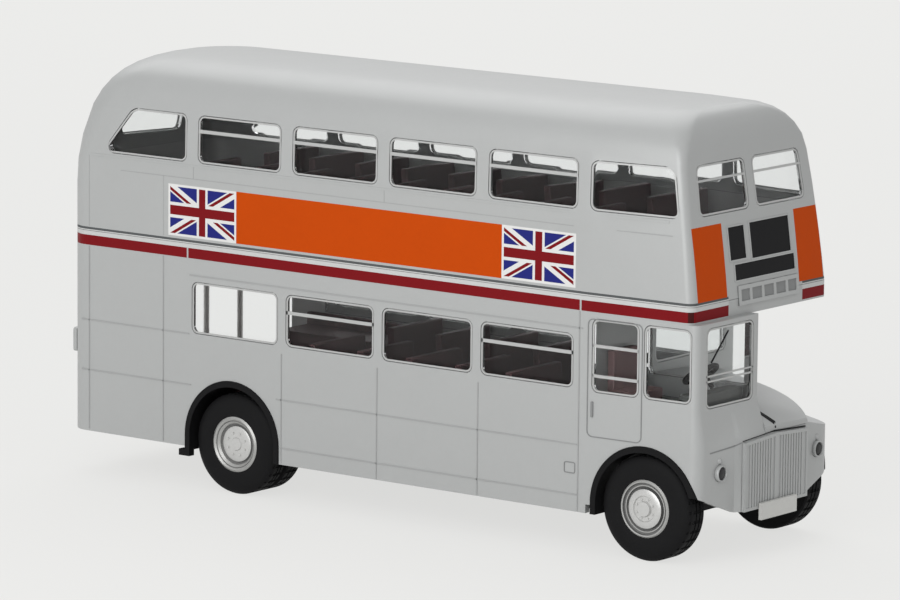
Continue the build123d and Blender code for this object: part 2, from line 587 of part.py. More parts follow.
def make_headlamps():
    """Two lamps pushed into the front panel: a barrel with a rounded rim."""
    lamps = []
    for sign in (-1, 1):
        middle_x = LAMP_PANEL_X + LAMP_PROUD - LAMP_DEPTH / 2
        barrel = Pos(middle_x, sign * LAMP_Y, LAMP_Z) * Rot(0, 90, 0) * Cylinder(LAMP_R, LAMP_DEPTH)
        rim = barrel.edges().sort_by(Axis.X)[-1]
        lamps.append(fillet(rim, LAMP_EDGE_R))
    return Compound(lamps)


def make_tail_box():
    """Lamp and blank plate box on the rear wall, lapping over the rounded offside corner."""
    x = (REAR_X - TAIL_BOX_PROUD, REAR_X - JOINT_GAP)
    low_y = -HALF + REAR_CORNER_R - TAIL_BOX_LAP
    box = block(x, (low_y, low_y + TAIL_BOX_WIDTH), (TAIL_BOX_Z, TAIL_BOX_Z + TAIL_BOX_HEIGHT))
    return fillet(box.edges().filter_by(Axis.X), TAIL_BOX_R)


def seat_row(x, floor_z, height, sign):
    """A double seat facing forward: cushion on a plinth and an upright back."""
    outer = HALF - WALL - JOINT_GAP - GLASS - SEAT_SIDE_GAP
    cushion_z, top_z = floor_z + SEAT_CUSHION, floor_z + height
    profile = [
        (x, floor_z),
        (x + SEAT_DEPTH, floor_z),
        (x + SEAT_DEPTH, cushion_z),
        (x + SEAT_BACK, cushion_z),
        (x + SEAT_BACK / 2, top_z),
        (x - SEAT_BACK / 2, top_z),
    ]
    return side_prism(make_face(Polyline(*profile, close=True)), *mirrored(sign, outer, outer - SEAT_WIDTH))


def seat_rows(first, last, count):
    """The x of each seat row, evenly spaced from first to last."""
    return [first + (last - first) * row / (count - 1) for row in range(count)]


def stair_x():
    """Low and high x of the stairs, behind the saloon."""
    return (REAR_X + REAR_CORNER_R, PLATFORM_X)


def stair_y():
    """Low and high y of the stairs, along the offside wall."""
    low = -HALF + WALL + 2 * JOINT_GAP
    return (low, low + STAIR_WIDTH)


def make_upper_saloon():
    """Upper deck floor with its seats and the stairwell opening."""
    top = SPLIT_Z - JOINT_GAP
    floor = upright(lower_plan(WALL + JOINT_GAP), top - FLOOR, top)
    floor -= block(stair_x(), stair_y(), (top - 2 * FLOOR, top + FLOOR))
    for x in seat_rows(PLATFORM_X + SEAT_DEPTH, DECK_FRONT_X - UPPER_LEG_ROOM, UPPER_SEAT_ROWS):
        for sign in (-1, 1):
            floor += seat_row(x, top, UPPER_SEAT_HEIGHT, sign)
    return floor


def make_staircase():
    """Stairs from the platform to the upper deck, climbing forwards along the offside wall."""
    x, y = stair_x(), stair_y()
    base, top = PLATFORM_Z + JOINT_GAP, SPLIT_Z - JOINT_GAP - FLOOR
    rise = (top - base) / STAIR_STEPS
    run = (x[1] - x[0]) / STAIR_STEPS
    points = [(x[1], base), (x[0], base)]
    for step in range(STAIR_STEPS):
        z = base + (step + 1) * rise
        points += [(x[0] + step * run, z), (x[0] + (step + 1) * run, z)]
    treads = side_prism(make_face(Polyline(*points, close=True)), y[0], y[1] - WALL)
    middle_x, middle_z = (x[0] + x[1]) / 2, (base + top) / 2
    panel = Polyline((x[1], base), (x[0], base), (x[0], middle_z), (middle_x, top), (x[1], top), close=True)
    return treads + side_prism(make_face(panel), y[1] - WALL, y[1])


def make_lower_saloon():
    """Lower deck floor with forward seats, benches over the rear wheels and the platform."""
    inset = WALL + JOINT_GAP
    inner = HALF - inset
    seat_inner = inner - GLASS - SEAT_SIDE_GAP
    floor_z = (LOWER_FLOOR_Z - FLOOR, LOWER_FLOOR_Z)
    floor = block((PLATFORM_X, BULKHEAD_X - inset - GLASS), (-inner, inner), floor_z)
    platform_z = PLATFORM_Z - JOINT_GAP
    platform = upright(lower_plan(inset), platform_z - FLOOR, platform_z)
    floor += platform & block((REAR_X, PLATFORM_X + FLOOR), (-HALF, HALF), (0, ROOF_Z))
    floor += block((PLATFORM_X, PLATFORM_X + FLOOR), (-inner, inner), (platform_z - FLOOR, LOWER_FLOOR_Z))
    well_r = ARCH_R + WHEEL_WELL_GAP
    well_x = (REAR_AXLE_X - well_r, REAR_AXLE_X + well_r)
    well_top = AXLE_Z + REAR_ARCH_RISE + ARCH_R + WHEEL_WELL_GAP
    well_in = HALF - WHEEL_FACE_INSET - TWIN_TYRE_WIDTH - WHEEL_WELL_GAP
    cover_in = well_in - FLOOR
    cover_x = (well_x[0] - FLOOR, well_x[1] + FLOOR)
    bench_z = (well_top, well_top + BENCH_RISE)
    back_z = (well_top, LOWER_SILL_Z - GLASS_LAP)
    for sign in (-1, 1):
        floor += block(cover_x, mirrored(sign, cover_in, inner), (LOWER_FLOOR_Z - FLOOR, well_top + FLOOR))
        floor += block(cover_x, mirrored(sign, cover_in, seat_inner), bench_z)
        floor += block(cover_x, mirrored(sign, seat_inner - SEAT_BACK, seat_inner), back_z)
        floor -= block(well_x, mirrored(sign, well_in, inner + WALL), (0, well_top))
    first = cover_x[1] + 2 * SEAT_BACK
    for x in seat_rows(first, BULKHEAD_X - LOWER_LEG_ROOM, LOWER_SEAT_ROWS):
        for sign in (-1, 1):
            floor += seat_row(x, LOWER_FLOOR_Z, LOWER_SEAT_HEIGHT, sign)
    return floor


def make_poles():
    """Upright grab poles at the platform's edge."""
    height = ENTRY_HEAD_Z + WALL - PLATFORM_Z
    middle_z = PLATFORM_Z + height / 2
    places = [(REAR_X + from_rear, HALF - inset) for from_rear, inset in POLE_PLACES]
    return Compound([Pos(x, y, middle_z) * Cylinder(POLE_R, height) for x, y in places])


def cab_limits():
    """Inside limits of the half cab in x and y, clear of its glazing."""
    clear = WALL + JOINT_GAP + GLASS + PANE_GAP
    return (BULKHEAD_X + PANE_GAP, CAB_FRONT_X - clear), (-FRONT_HALF + clear, CAB_INNER_Y - clear)


def make_cab_interior():
    """Driver's seat and dash on a cab floor plate."""
    x, y = cab_limits()
    base = APRON_TOP_Z + JOINT_GAP
    middle = (y[0] + y[1]) / 2
    seat_y = (middle - SEAT_WIDTH / 4, middle + SEAT_WIDTH / 4)
    cab = block(x, y, (base, base + FLOOR))
    cab += block((x[0], x[0] + SEAT_DEPTH), seat_y, (base, base + SEAT_CUSHION))
    cab += block((x[0], x[0] + SEAT_BACK), seat_y, (base, base + 2 * SEAT_CUSHION))
    return cab + block((x[1] - SEAT_BACK * 2, x[1]), y, (base, base + SEAT_CUSHION + FLOOR))


def make_steering_wheel():
    """Steering wheel on a raked column that stands on the dash."""
    x, y = cab_limits()
    dash_z = APRON_TOP_Z + 2 * JOINT_GAP + SEAT_CUSHION + FLOOR
    place = Pos(x[1] - SEAT_BACK, (y[0] + y[1]) / 2, dash_z) * Rot(0, -COLUMN_RAKE, 0)
    column = Pos(0, 0, COLUMN_LENGTH / 2 + WHEEL_ROD_R) * Cylinder(WHEEL_ROD_R, COLUMN_LENGTH)
    spokes = Box(2 * WHEEL_RIM_R, WHEEL_ROD_R, WHEEL_ROD_R) + Box(WHEEL_ROD_R, 2 * WHEEL_RIM_R, WHEEL_ROD_R)
    wheel = Pos(0, 0, COLUMN_LENGTH + WHEEL_ROD_R) * (Torus(WHEEL_RIM_R, WHEEL_ROD_R) + spokes)
    return place * (column + wheel)


def make_mudguards(axle_x, rise, depth):
    """Black liners of one axle's arches, standing just proud of the body side."""
    outer, inner = ARCH_R - GUARD_GAP, ARCH_R - GUARD_GAP - GUARD
    centre_z = AXLE_Z + rise
    guards = []
    for sign in (-1, 1):
        y = mirrored(sign, HALF + GUARD_PROUD, HALF - depth)
        ring = Circle(outer) - Circle(inner) - Pos(0, -outer) * Rectangle(2 * outer, 2 * outer)
        guard = side_prism(Pos(axle_x, centre_z) * ring, *y)
        for side in (-1, 1):
            x = mirrored(side, inner, outer)
            guard += block((axle_x + x[0], axle_x + x[1]), y, (SKIRT_Z, centre_z))
        guards.append(guard)
    return guards


def make_front_mudguards():
    """Front arch liners, which follow the drawn-in sides and, further in, stop behind the front panel."""
    outside = upright(apron_plan(-GUARD_PROUD), 0, APRON_TOP_Z)
    inside = upright(apron_plan(APRON_WALL + GUARD_GAP), 0, APRON_TOP_Z)
    guards = []
    for sign, guard in zip((-1, 1), make_mudguards(FRONT_AXLE_X, 0, GUARD_DEPTH)):
        edge = HALF - FRONT_ARCH_DEPTH + GUARD_GAP
        edge_zone = block((BULKHEAD_X, GRILLE_X), mirrored(sign, edge, THROUGH), (0, APRON_TOP_Z))
        guards.append((guard & ((outside & edge_zone) + inside)) - apron_rise())
    return Compound(guards)


def make_rear_mudguards():
    """Rear arch liners, each with a foot turned back under the skirt."""
    guards = []
    for sign, guard in zip((-1, 1), make_mudguards(REAR_AXLE_X, REAR_ARCH_RISE, TWIN_TYRE_WIDTH)):
        leg_x = REAR_AXLE_X - ARCH_R + GUARD_GAP
        foot_x = (leg_x - GUARD_FOOT_LENGTH, leg_x + GUARD)
        foot_y = mirrored(sign, HALF + GUARD_PROUD, HALF - GUARD_FOOT_DEPTH)
        foot_z = (SKIRT_Z - GUARD_FOOT_DROP, SKIRT_Z + GUARD_GAP)
        guards.append(guard + block(foot_x, foot_y, foot_z))
    return Compound(guards)


def make_chassis():
    """Base plate with rails, axle bearings and the drive line, open over each wheel."""
    half = HALF - WALL - JOINT_GAP
    z = (CHASSIS_Z, CHASSIS_Z + CHASSIS_PLATE)
    rear_x = REAR_AXLE_X - ARCH_R - WALL
    front_x = BULKHEAD_X - WALL - JOINT_GAP
    chassis = block((rear_x, front_x), (-half, half), z)
    nose_y = (-half / 2, half / 2)
    nose_z = (NOSE_PLATE_Z, NOSE_PLATE_Z + CHASSIS_PLATE)
    chassis += block((front_x, WING_X - NOSE_PLATE_SETBACK), nose_y, nose_z)
    chassis += block((front_x - WALL / 2, front_x + CHASSIS_PLATE), nose_y, (z[0], nose_z[1]))
    gear_r = RAIL_WIDTH
    tank_x = (TANK_X, TANK_X + TANK_LENGTH)
    for sign in (-1, 1):
        rail_y = mirrored(sign, RAIL_Y, RAIL_Y + RAIL_WIDTH)
        chassis += block((rear_x, front_x), rail_y, (RAIL_Z, z[1]))
        tank_y = RAIL_Y + 2 * RAIL_WIDTH
        chassis += block(tank_x, mirrored(sign, tank_y, tank_y + TANK_WIDTH), (TANK_Z, z[1]))
    shaft = Pos((REAR_AXLE_X + GEARBOX_X) / 2, 0, CHASSIS_Z) * Rot(0, 90, 0)
    chassis += shaft * Cylinder(gear_r / 2, GEARBOX_X - REAR_AXLE_X)
    chassis += Pos(REAR_AXLE_X, 0, CHASSIS_Z) * Sphere(DIFFERENTIAL_R)
    gearbox_x = (GEARBOX_X, GEARBOX_X + GEARBOX_LENGTH)
    chassis += block(gearbox_x, (-gear_r * 2, gear_r * 2), (RAIL_Z - WALL, z[1]))
    well_r = ARCH_R + WHEEL_WELL_GAP / 2
    for axle_x, width in ((REAR_AXLE_X, TWIN_TYRE_WIDTH), (FRONT_AXLE_X, TYRE_WIDTH)):
        well_in = HALF - WHEEL_FACE_INSET - width - WHEEL_WELL_GAP / 2
        for sign in (-1, 1):
            well_y = mirrored(sign, well_in, HALF)
            chassis -= block((axle_x - well_r, axle_x + well_r), well_y, (0, ROOF_Z))
        bearing_x = (axle_x - BEARING_LENGTH / 2, axle_x + BEARING_LENGTH / 2)
        bearing_half = min(well_in - WHEEL_WELL_GAP / 2, BEARING_HALF)
        bearing_z = (AXLE_Z - BEARING_DROP, AXLE_Z + BEARING_RISE)
        chassis += block(bearing_x, (-bearing_half, bearing_half), bearing_z)
        chassis -= Pos(axle_x, 0, AXLE_Z) * Rot(90, 0, 0) * Cylinder(AXLE_R + AXLE_FIT, BODY_WIDTH)
    return chassis


def wheel_face(sign):
    """The outer plane of a tyre on one side of the bus."""
    return sign * (HALF - WHEEL_FACE_INSET)


def spin(points, axle_x, sign):
    """Turns a half profile about the axle. Points are radius and depth inwards from the tyre's face."""
    profile = [(axle_x, wheel_face(sign) - sign * depth, AXLE_Z + radius) for radius, depth in points]
    face = make_face(Polyline(*profile, close=True))
    return revolve(face, Axis((axle_x, 0, AXLE_Z), (0, 1, 0)), 360)


def make_tyres(axle_x, width, grooved):
    """The tyres of one axle, with eased shoulders and, on twins, the gap between them."""
    edge = TYRE_EDGE_R
    points = [
        (RIM_R, 0.0),
        (TYRE_R - edge * 2, -edge * 0.3),
        (TYRE_R - edge * 0.3, edge * 0.5),
        (TYRE_R, edge * 1.5),
    ]
    if grooved:
        middle = width / 2
        points += [
            (TYRE_R, middle - TWIN_GROOVE / 2),
            (TYRE_R - TWIN_GROOVE, middle),
            (TYRE_R, middle + TWIN_GROOVE / 2),
        ]
    points += [(TYRE_R, width), (RIM_R, width)]
    return Compound([spin(points, axle_x, sign) for sign in (-1, 1)])


# Hub faces from the rim inwards: radius, depth behind the tyre's face
FRONT_HUB_FACE = (
    (3.05, -0.15),
    (2.85, 0.0),
    (2.65, 0.45),
    (2.35, 0.5),
    (2.25, 0.0),
    (1.95, -0.15),
    (1.5, -0.15),
    (1.4, 0.0),
    (0.9, 0.0),
    (0.8, -0.3),
    (0.0, -0.35),
)
REAR_HUB_FACE = (
    (3.05, -0.15),
    (2.85, 0.0),
    (2.55, 0.55),
    (2.2, 0.6),
    (2.1, 0.4),
    (1.9, 0.3),
    (0.8, 0.3),
    (0.7, 0.15),
    (0.0, 0.1),
)


def make_hubs(axle_x, width, profile):
    """The wheel centres of one axle: a turned front face and a blind bore for the axle."""
    rim = RIM_R - HUB_FIT
    points = [(rim, width), (rim, 0.0)] + list(profile) + [(0.0, width)]
    bore_depth = width * HUB_BORE_SHARE
    hubs = []
    for sign in (-1, 1):
        inner = wheel_face(sign) - sign * width
        bore = Pos(axle_x, inner + sign * bore_depth / 2, AXLE_Z) * Rot(90, 0, 0)
        hubs.append(spin(points, axle_x, sign) - bore * Cylinder(AXLE_R + HUB_FIT, bore_depth))
    return Compound(hubs)


def make_axle(axle_x, width):
    """Steel axle whose ends sit in the blind bores of the two wheel centres."""
    length = 2 * (wheel_face(1) - width * (1 - HUB_BORE_SHARE) - HUB_FIT)
    return Pos(axle_x, 0, AXLE_Z) * Rot(90, 0, 0) * Cylinder(AXLE_R, length)


os.makedirs("parts", exist_ok=True)
PIECES = {
    "upper_shell": make_upper_shell(),
    "lower_shell": make_lower_shell(),
    "bonnet": make_bonnet(),
    "radiator_grille": make_grille(),
    "front_plate": make_front_plate(),
    "headlamps": make_headlamps(),
    "tail_box": make_tail_box(),
    "upper_glazing": make_upper_glazing(),
    "lower_glazing": make_lower_glazing(),
    "cab_glazing": make_cab_glazing(),
    "upper_saloon": make_upper_saloon(),
    "lower_saloon": make_lower_saloon(),
    "staircase": make_staircase(),
    "platform_poles": make_poles(),
    "cab_interior": make_cab_interior(),
    "steering_wheel": make_steering_wheel(),
    "chassis": make_chassis(),
    "front_mudguards": make_front_mudguards(),
    "rear_mudguards": make_rear_mudguards(),
    "front_axle": make_axle(FRONT_AXLE_X, TYRE_WIDTH),
    "front_hubs": make_hubs(FRONT_AXLE_X, TYRE_WIDTH, FRONT_HUB_FACE),
    "front_tyres": make_tyres(FRONT_AXLE_X, TYRE_WIDTH, False),
    "rear_axle": make_axle(REAR_AXLE_X, TWIN_TYRE_WIDTH),
    "rear_hubs": make_hubs(REAR_AXLE_X, TWIN_TYRE_WIDTH, REAR_HUB_FACE),
    "rear_tyres": make_tyres(REAR_AXLE_X, TWIN_TYRE_WIDTH, True),
}
for name, shape in PIECES.items():
    export_step(shape, f"parts/{name}.step")
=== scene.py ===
import math

import bmesh
import bpy
from mathutils import Matrix, Vector
from mathutils.bvhtree import BVHTree


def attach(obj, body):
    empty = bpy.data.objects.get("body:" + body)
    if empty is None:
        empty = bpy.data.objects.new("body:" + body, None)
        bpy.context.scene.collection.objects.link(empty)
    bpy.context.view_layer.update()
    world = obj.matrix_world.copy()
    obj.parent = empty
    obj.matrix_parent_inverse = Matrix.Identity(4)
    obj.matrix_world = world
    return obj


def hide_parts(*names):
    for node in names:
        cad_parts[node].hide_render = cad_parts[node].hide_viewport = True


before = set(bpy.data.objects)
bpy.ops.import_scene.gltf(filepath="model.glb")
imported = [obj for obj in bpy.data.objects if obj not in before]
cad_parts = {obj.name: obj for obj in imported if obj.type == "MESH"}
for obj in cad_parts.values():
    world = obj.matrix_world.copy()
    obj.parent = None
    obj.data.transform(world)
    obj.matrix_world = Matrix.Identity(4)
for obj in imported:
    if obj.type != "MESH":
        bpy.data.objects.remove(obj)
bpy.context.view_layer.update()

# Upper deck: walls and roof moulded in one piece of satin silver plastic and clipped over the lower
# deck at the waist. Its livery is printed on: an orange band between two flags along each side,
# orange panels and black blinds across the front. The dark line where the decks meet is painted
# shadow of the joint.
MM = 0.001
SIDE, FRONT = (0, 2), (1, 2)
INNER_REACH = 8.0
PAST_END, PAST_SIDE = 60, 20


def grain_group():
    """Node group: a colour with soft mottling, uneven gloss and a fine relief, in object space."""
    group = bpy.data.node_groups.new("moulded_grain", "ShaderNodeTree")
    sockets = group.interface
    sockets.new_socket("Colour", in_out="INPUT", socket_type="NodeSocketColor")
    for name in ("Mottle", "Scale", "Gloss", "Spread"):
        sockets.new_socket(name, in_out="INPUT", socket_type="NodeSocketFloat")
    sockets.new_socket("Colour", in_out="OUTPUT", socket_type="NodeSocketColor")
    for name in ("Roughness", "Height"):
        sockets.new_socket(name, in_out="OUTPUT", socket_type="NodeSocketFloat")
    nodes, links = group.nodes, group.links

    def math_node(operation, *values):
        node = nodes.new("ShaderNodeMath")
        node.operation = operation
        for socket, value in zip(node.inputs, values):
            if isinstance(value, bpy.types.NodeSocket):
                links.new(value, socket)
            else:
                socket.default_value = value
        return node.outputs[0]

    given, made = nodes.new("NodeGroupInput").outputs, nodes.new("NodeGroupOutput").inputs
    place = nodes.new("ShaderNodeTexCoord")
    noises = []
    for detail, scale in ((3.0, given["Scale"]), (2.0, math_node("MULTIPLY", given["Scale"], 9.0))):
        noise = nodes.new("ShaderNodeTexNoise")
        noise.inputs["Detail"].default_value = detail
        links.new(place.outputs["Object"], noise.inputs["Vector"])
        links.new(scale, noise.inputs["Scale"])
        noises.append(noise.outputs["Fac"])
    around = math_node("SUBTRACT", math_node("ADD", *noises), 1.0)
    tint = nodes.new("ShaderNodeVectorMath")
    tint.operation = "SCALE"
    links.new(given["Colour"], tint.inputs[0])
    links.new(math_node("MULTIPLY_ADD", around, given["Mottle"], 1.0), tint.inputs["Scale"])
    links.new(tint.outputs[0], made["Colour"])
    links.new(math_node("MULTIPLY_ADD", around, given["Spread"], given["Gloss"]), made["Roughness"])
    links.new(noises[1], made["Height"])
    return group


GRAIN = grain_group()


def moulded(name, colour, gloss, mottle=0.06, spread=0.1, scale=250.0, relief=0.01, **sockets):
    """A material on the grain group; further values are set on the shader's own sockets."""
    material = bpy.data.materials.new(name)
    material.use_nodes = True
    nodes, links = material.node_tree.nodes, material.node_tree.links
    shader = nodes["Principled BSDF"]
    grain = nodes.new("ShaderNodeGroup")
    grain.node_tree = GRAIN
    grain.inputs["Colour"].default_value = (*colour, 1.0)
    for socket, value in (("Mottle", mottle), ("Scale", scale), ("Gloss", gloss), ("Spread", spread)):
        grain.inputs[socket].default_value = value
    bump = nodes.new("ShaderNodeBump")
    bump.inputs["Strength"].default_value = 0.5
    bump.inputs["Distance"].default_value = relief * MM
    links.new(grain.outputs["Colour"], shader.inputs["Base Color"])
    links.new(grain.outputs["Roughness"], shader.inputs["Roughness"])
    links.new(grain.outputs["Height"], bump.inputs["Height"])
    links.new(bump.outputs["Normal"], shader.inputs["Normal"])
    for socket, value in sockets.items():
        shader.inputs[socket.replace("_", " ")].default_value = value
    return material


SILVER = moulded(
    "silver_satin", (0.40, 0.408, 0.406), 0.42, mottle=0.035, Metallic=0.2, Specular_IOR_Level=0.3
)
WHITE_INK = moulded("white_ink", (0.64, 0.64, 0.63), 0.5, Specular_IOR_Level=0.2)
ORANGE_INK = moulded("orange_ink", (0.47, 0.056, 0.0015), 0.5, Specular_IOR_Level=0.05)
RED_INK = moulded("red_ink", (0.17, 0.005, 0.008), 0.45, Specular_IOR_Level=0.08)
BLUE_INK = moulded("blue_ink", (0.016, 0.02, 0.16), 0.5, Specular_IOR_Level=0.08)
BLACK_INK = moulded("black_ink", (0.005, 0.005, 0.006), 0.4, Specular_IOR_Level=0.1)
SHADOW = moulded("joint_shadow", (0.085, 0.09, 0.092), 0.7, Specular_IOR_Level=0.1)
PALE_LINE = moulded("pale_line", (0.5, 0.505, 0.5), 0.5, Specular_IOR_Level=0.2)
# A darker copy of the red: painted shade where the stripe turns each front corner.
CORNER_SHADE_RED = moulded("red_corner_painted_shade", (0.05, 0.008, 0.008), 0.5, Specular_IOR_Level=0.08)
INKS_AND_SHADES = [SILVER, WHITE_INK, ORANGE_INK, RED_INK, BLUE_INK, BLACK_INK, SHADOW, PALE_LINE, CORNER_SHADE_RED]
WHITE, ORANGE, RED, BLUE, BLACK, DARK, LIGHT, CORNER_SHADE = range(1, 9)


def node_copy(node, crease=28.0):
    """A merged, smooth-shaded working copy of a CAD node, with its corners kept sharp."""
    bm = bmesh.new()
    bm.from_mesh(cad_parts[node].data)
    bmesh.ops.remove_doubles(bm, verts=bm.verts[:], dist=0.002 * MM)
    bmesh.ops.dissolve_degenerate(bm, edges=bm.edges[:], dist=0.001 * MM)
    bm.normal_update()
    for face in bm.faces:
        face.smooth = True
        face.material_index = 0
    for edge in bm.edges:
        edge.smooth = edge.is_manifold and edge.calc_face_angle() < math.radians(crease)
    return bm


def piece(bm, name, body, slot, materials, *stands_for):
    """Writes a bmesh out as an object on a body, standing for CAD nodes; the slot is not used."""
    mesh = bpy.data.meshes.new(name)
    bm.to_mesh(mesh)
    bm.free()
    if "custom_normal" in mesh.attributes:
        mesh.attributes.remove(mesh.attributes["custom_normal"])
    for material in materials:
        mesh.materials.append(material)
    obj = bpy.data.objects.new(name, mesh)
    bpy.context.scene.collection.objects.link(obj)
    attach(obj, body)
    if stands_for:
        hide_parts(*stands_for)
    return obj


def facing_faces(bm, facing, axes, low, high):
    """Outer faces that look along a direction and reach into a rectangle on two axes, in millimetres."""
    found = []
    for face in bm.faces:
        if face.normal.dot(facing) > 0.3 and face.calc_center_median().dot(facing) > INNER_REACH * MM:
            spans = [[vert.co[axis] / MM for vert in face.verts] for axis in axes]
            if all(max(span) > l and min(span) < h for span, l, h in zip(spans, low, high)):
                found.append(face)
    return found


def slice_faces(bm, faces, point, normal):
    """Cuts faces along a plane, given in millimetres."""
    geometry = set(faces)
    for face in faces:
        geometry.update(face.edges)
        geometry.update(face.verts)
    plane = {"plane_co": Vector(point) * MM, "plane_no": Vector(normal).normalized()}
    bmesh.ops.bisect_plane(bm, geom=list(geometry), dist=1e-8, **plane)
    bm.normal_update()


def print_zone(bm, facing, axes, low, high, ink):
    """Prints a rectangle, or paints shade on it: ink is a place in the list of inks and painted shades, or
    a function that gives it from the face's middle.
    """
    for axis, bounds in zip(axes, zip(low, high)):
        for bound in bounds:
            point, normal = [0, 0, 0], [0, 0, 0]
            point[axis], normal[axis] = bound, 1
            slice_faces(bm, facing_faces(bm, facing, axes, low, high), point, normal)
    for face in facing_faces(bm, facing, axes, low, high):
        middle = [face.calc_center_median()[axis] / MM for axis in axes]
        if all(l < m < h for l, m, h in zip(low, middle, high)):
            face.material_index = ink(*middle) if callable(ink) else ink


def print_flag(bm, sign, low, high):
    """A flag of an upright cross over a counterchanged saltire, on a field of 60 by 30 units."""
    border = 0.28
    facing = Vector((0, sign, 0))
    print_zone(bm, facing, SIDE, low, high, WHITE)
    low, high = (low[0] + border, low[1] + border), (high[0] - border, high[1] - border)
    middle = ((low[0] + high[0]) / 2, (low[1] + high[1]) / 2)
    unit = (-sign * (high[0] - low[0]) / 60, (high[1] - low[1]) / 30)
    lines = [(offset, across) for offset in (-5, -3, 3, 5) for across in (Vector((1, 0)), Vector((0, 1)))]
    for slope in (-2, 2):
        lines += [(offset, Vector((1, slope)).normalized()) for offset in (-3, -2, 0, 2, 3)]
    for offset, across in lines:
        point = (middle[0] + offset * across.x * unit[0], 0, middle[1] + offset * across.y * unit[1])
        normal = (across.x / unit[0], 0, across.y / unit[1])
        slice_faces(bm, facing_faces(bm, facing, SIDE, low, high), point, normal)

    def ink(x, z):
        u, v = (x - middle[0]) / unit[0], (z - middle[1]) / unit[1]
        upright = min(abs(u), abs(v))
        arm = Vector((math.copysign(2, u), math.copysign(1, v))).normalized()
        beside = arm.x * v - arm.y * u
        if upright < 3 or (upright > 5 and 0 < beside < 2):
            return RED
        return WHITE if upright < 5 or abs(beside) < 3 else BLUE

    print_zone(bm, facing, SIDE, low, high, ink)


BAND_Z, BANNER_X = (29.95, 36.05), (-20.35, 18.25)
FLAG_X = ((-30.65, BANNER_X[0]), (BANNER_X[1], 28.55))
# A pale line, then a dark band that is painted shadow of the joint between the decks.
WAIST_BANDS = ((28.7, 29.38, LIGHT), (29.38, 29.66, DARK))
BLINDS = (
    # low y and z, high y and z of the number, via and destination blinds
    ((-5.4, 33.5), (-2.3, 37.2)),
    ((-1.2, 33.3), (6.5, 37.3)),
    ((-4.7, 31.2), (7.0, 33.0)),
)
FRONT_PANELS = (((-12.2, 29.62), (-6.5, 37.8)), ((7.7, 29.62), (12.6, 37.8)))
FRONT_BANDS = ((-PAST_SIDE, -6.3), (8.3, PAST_SIDE))
upper = node_copy("upper_shell")
for sign in (-1, 1):
    beside = Vector((0, sign, 0))
    for low, high in FLAG_X:
        print_flag(upper, sign, (low, BAND_Z[0]), (high, BAND_Z[1]))
    print_zone(upper, beside, SIDE, (BANNER_X[0], BAND_Z[0]), (BANNER_X[1], BAND_Z[1]), ORANGE)
for low_z, high_z, ink in WAIST_BANDS:
    for sign in (-1, 1):
        print_zone(upper, Vector((0, sign, 0)), SIDE, (-PAST_END, low_z), (PAST_END, high_z), ink)
    print_zone(upper, Vector((-1, 0, 0)), FRONT, (-PAST_SIDE, low_z), (PAST_SIDE, high_z), ink)
    for low, high in FRONT_BANDS:
        print_zone(upper, Vector((1, 0, 0)), FRONT, (low, low_z), (high, high_z), ink)
for low, high in FRONT_PANELS:
    print_zone(upper, Vector((1, 0, 0)), FRONT, low, high, ORANGE)
for low, high in BLINDS:
    print_zone(upper, Vector((1, 0, 0)), FRONT, low, high, BLACK)
piece(upper, "upper_deck", "bus", "silver_body", INKS_AND_SHADES, "upper_shell")

# Upper deck dressing: raised frames round the three blinds, the vent panel with its five cells below
# them, and the moulded ledges under the windows, all part of the silver moulding. The cells' floor is
# dark grey and the finest ledge lines a darker silver, both painted shade in recesses and joints.
HALF_WIDTH, BULKHEAD_X, SPLIT_Z, ROOF_Z = 14.0, 30.3, 29.2, 50.0
UPPER_FRONT_X, FRONT_LEAN, LEAN_Z, LEAN_HEIGHT, LEAN_POWER = 44.1, 2.32, 27.3, 17.2, 1.3
DOME_Z, DOME_DEPTH, DOME_POWER = 40.5, 11.0, 3.4
FRONT_SHARE, FRONT_SHARE_LOSS = 0.9571, 0.0941
UPPER_REAR_X, REAR_DOME_Z, REAR_DOME_DEPTH = -46.4, 36.5, 7.5


def upper_front_x(z):
    """The upper deck's front plane at a height, leaning back from the canopy."""
    return UPPER_FRONT_X - FRONT_LEAN * (max(z - LEAN_Z, 0.0) / LEAN_HEIGHT) ** LEAN_POWER


def upper_side_y(x, z):
    """Half the upper deck's width: the roof closes in with height, the front with length."""
    rise = max((z - DOME_Z) / (ROOF_Z - DOME_Z), 0.0)
    half = HALF_WIDTH - DOME_DEPTH * (1.0 - (1.0 - rise**DOME_POWER) ** (1.0 / DOME_POWER))
    share = FRONT_SHARE - FRONT_SHARE_LOSS * (z - SPLIT_Z) / (ROOF_Z - SPLIT_Z)
    along = max(x - BULKHEAD_X, 0.0) / (upper_front_x(z) - BULKHEAD_X)
    return half * (1.0 - (1.0 - share) * along)


def upper_rear_x(z):
    """The upper deck's rear plane at a height, leaning forward into the roof."""
    rise = max((z - REAR_DOME_Z) / (ROOF_Z - REAR_DOME_Z), 0.0)
    return UPPER_REAR_X + REAR_DOME_DEPTH * (1.0 - (1.0 - rise**2) ** 0.5)


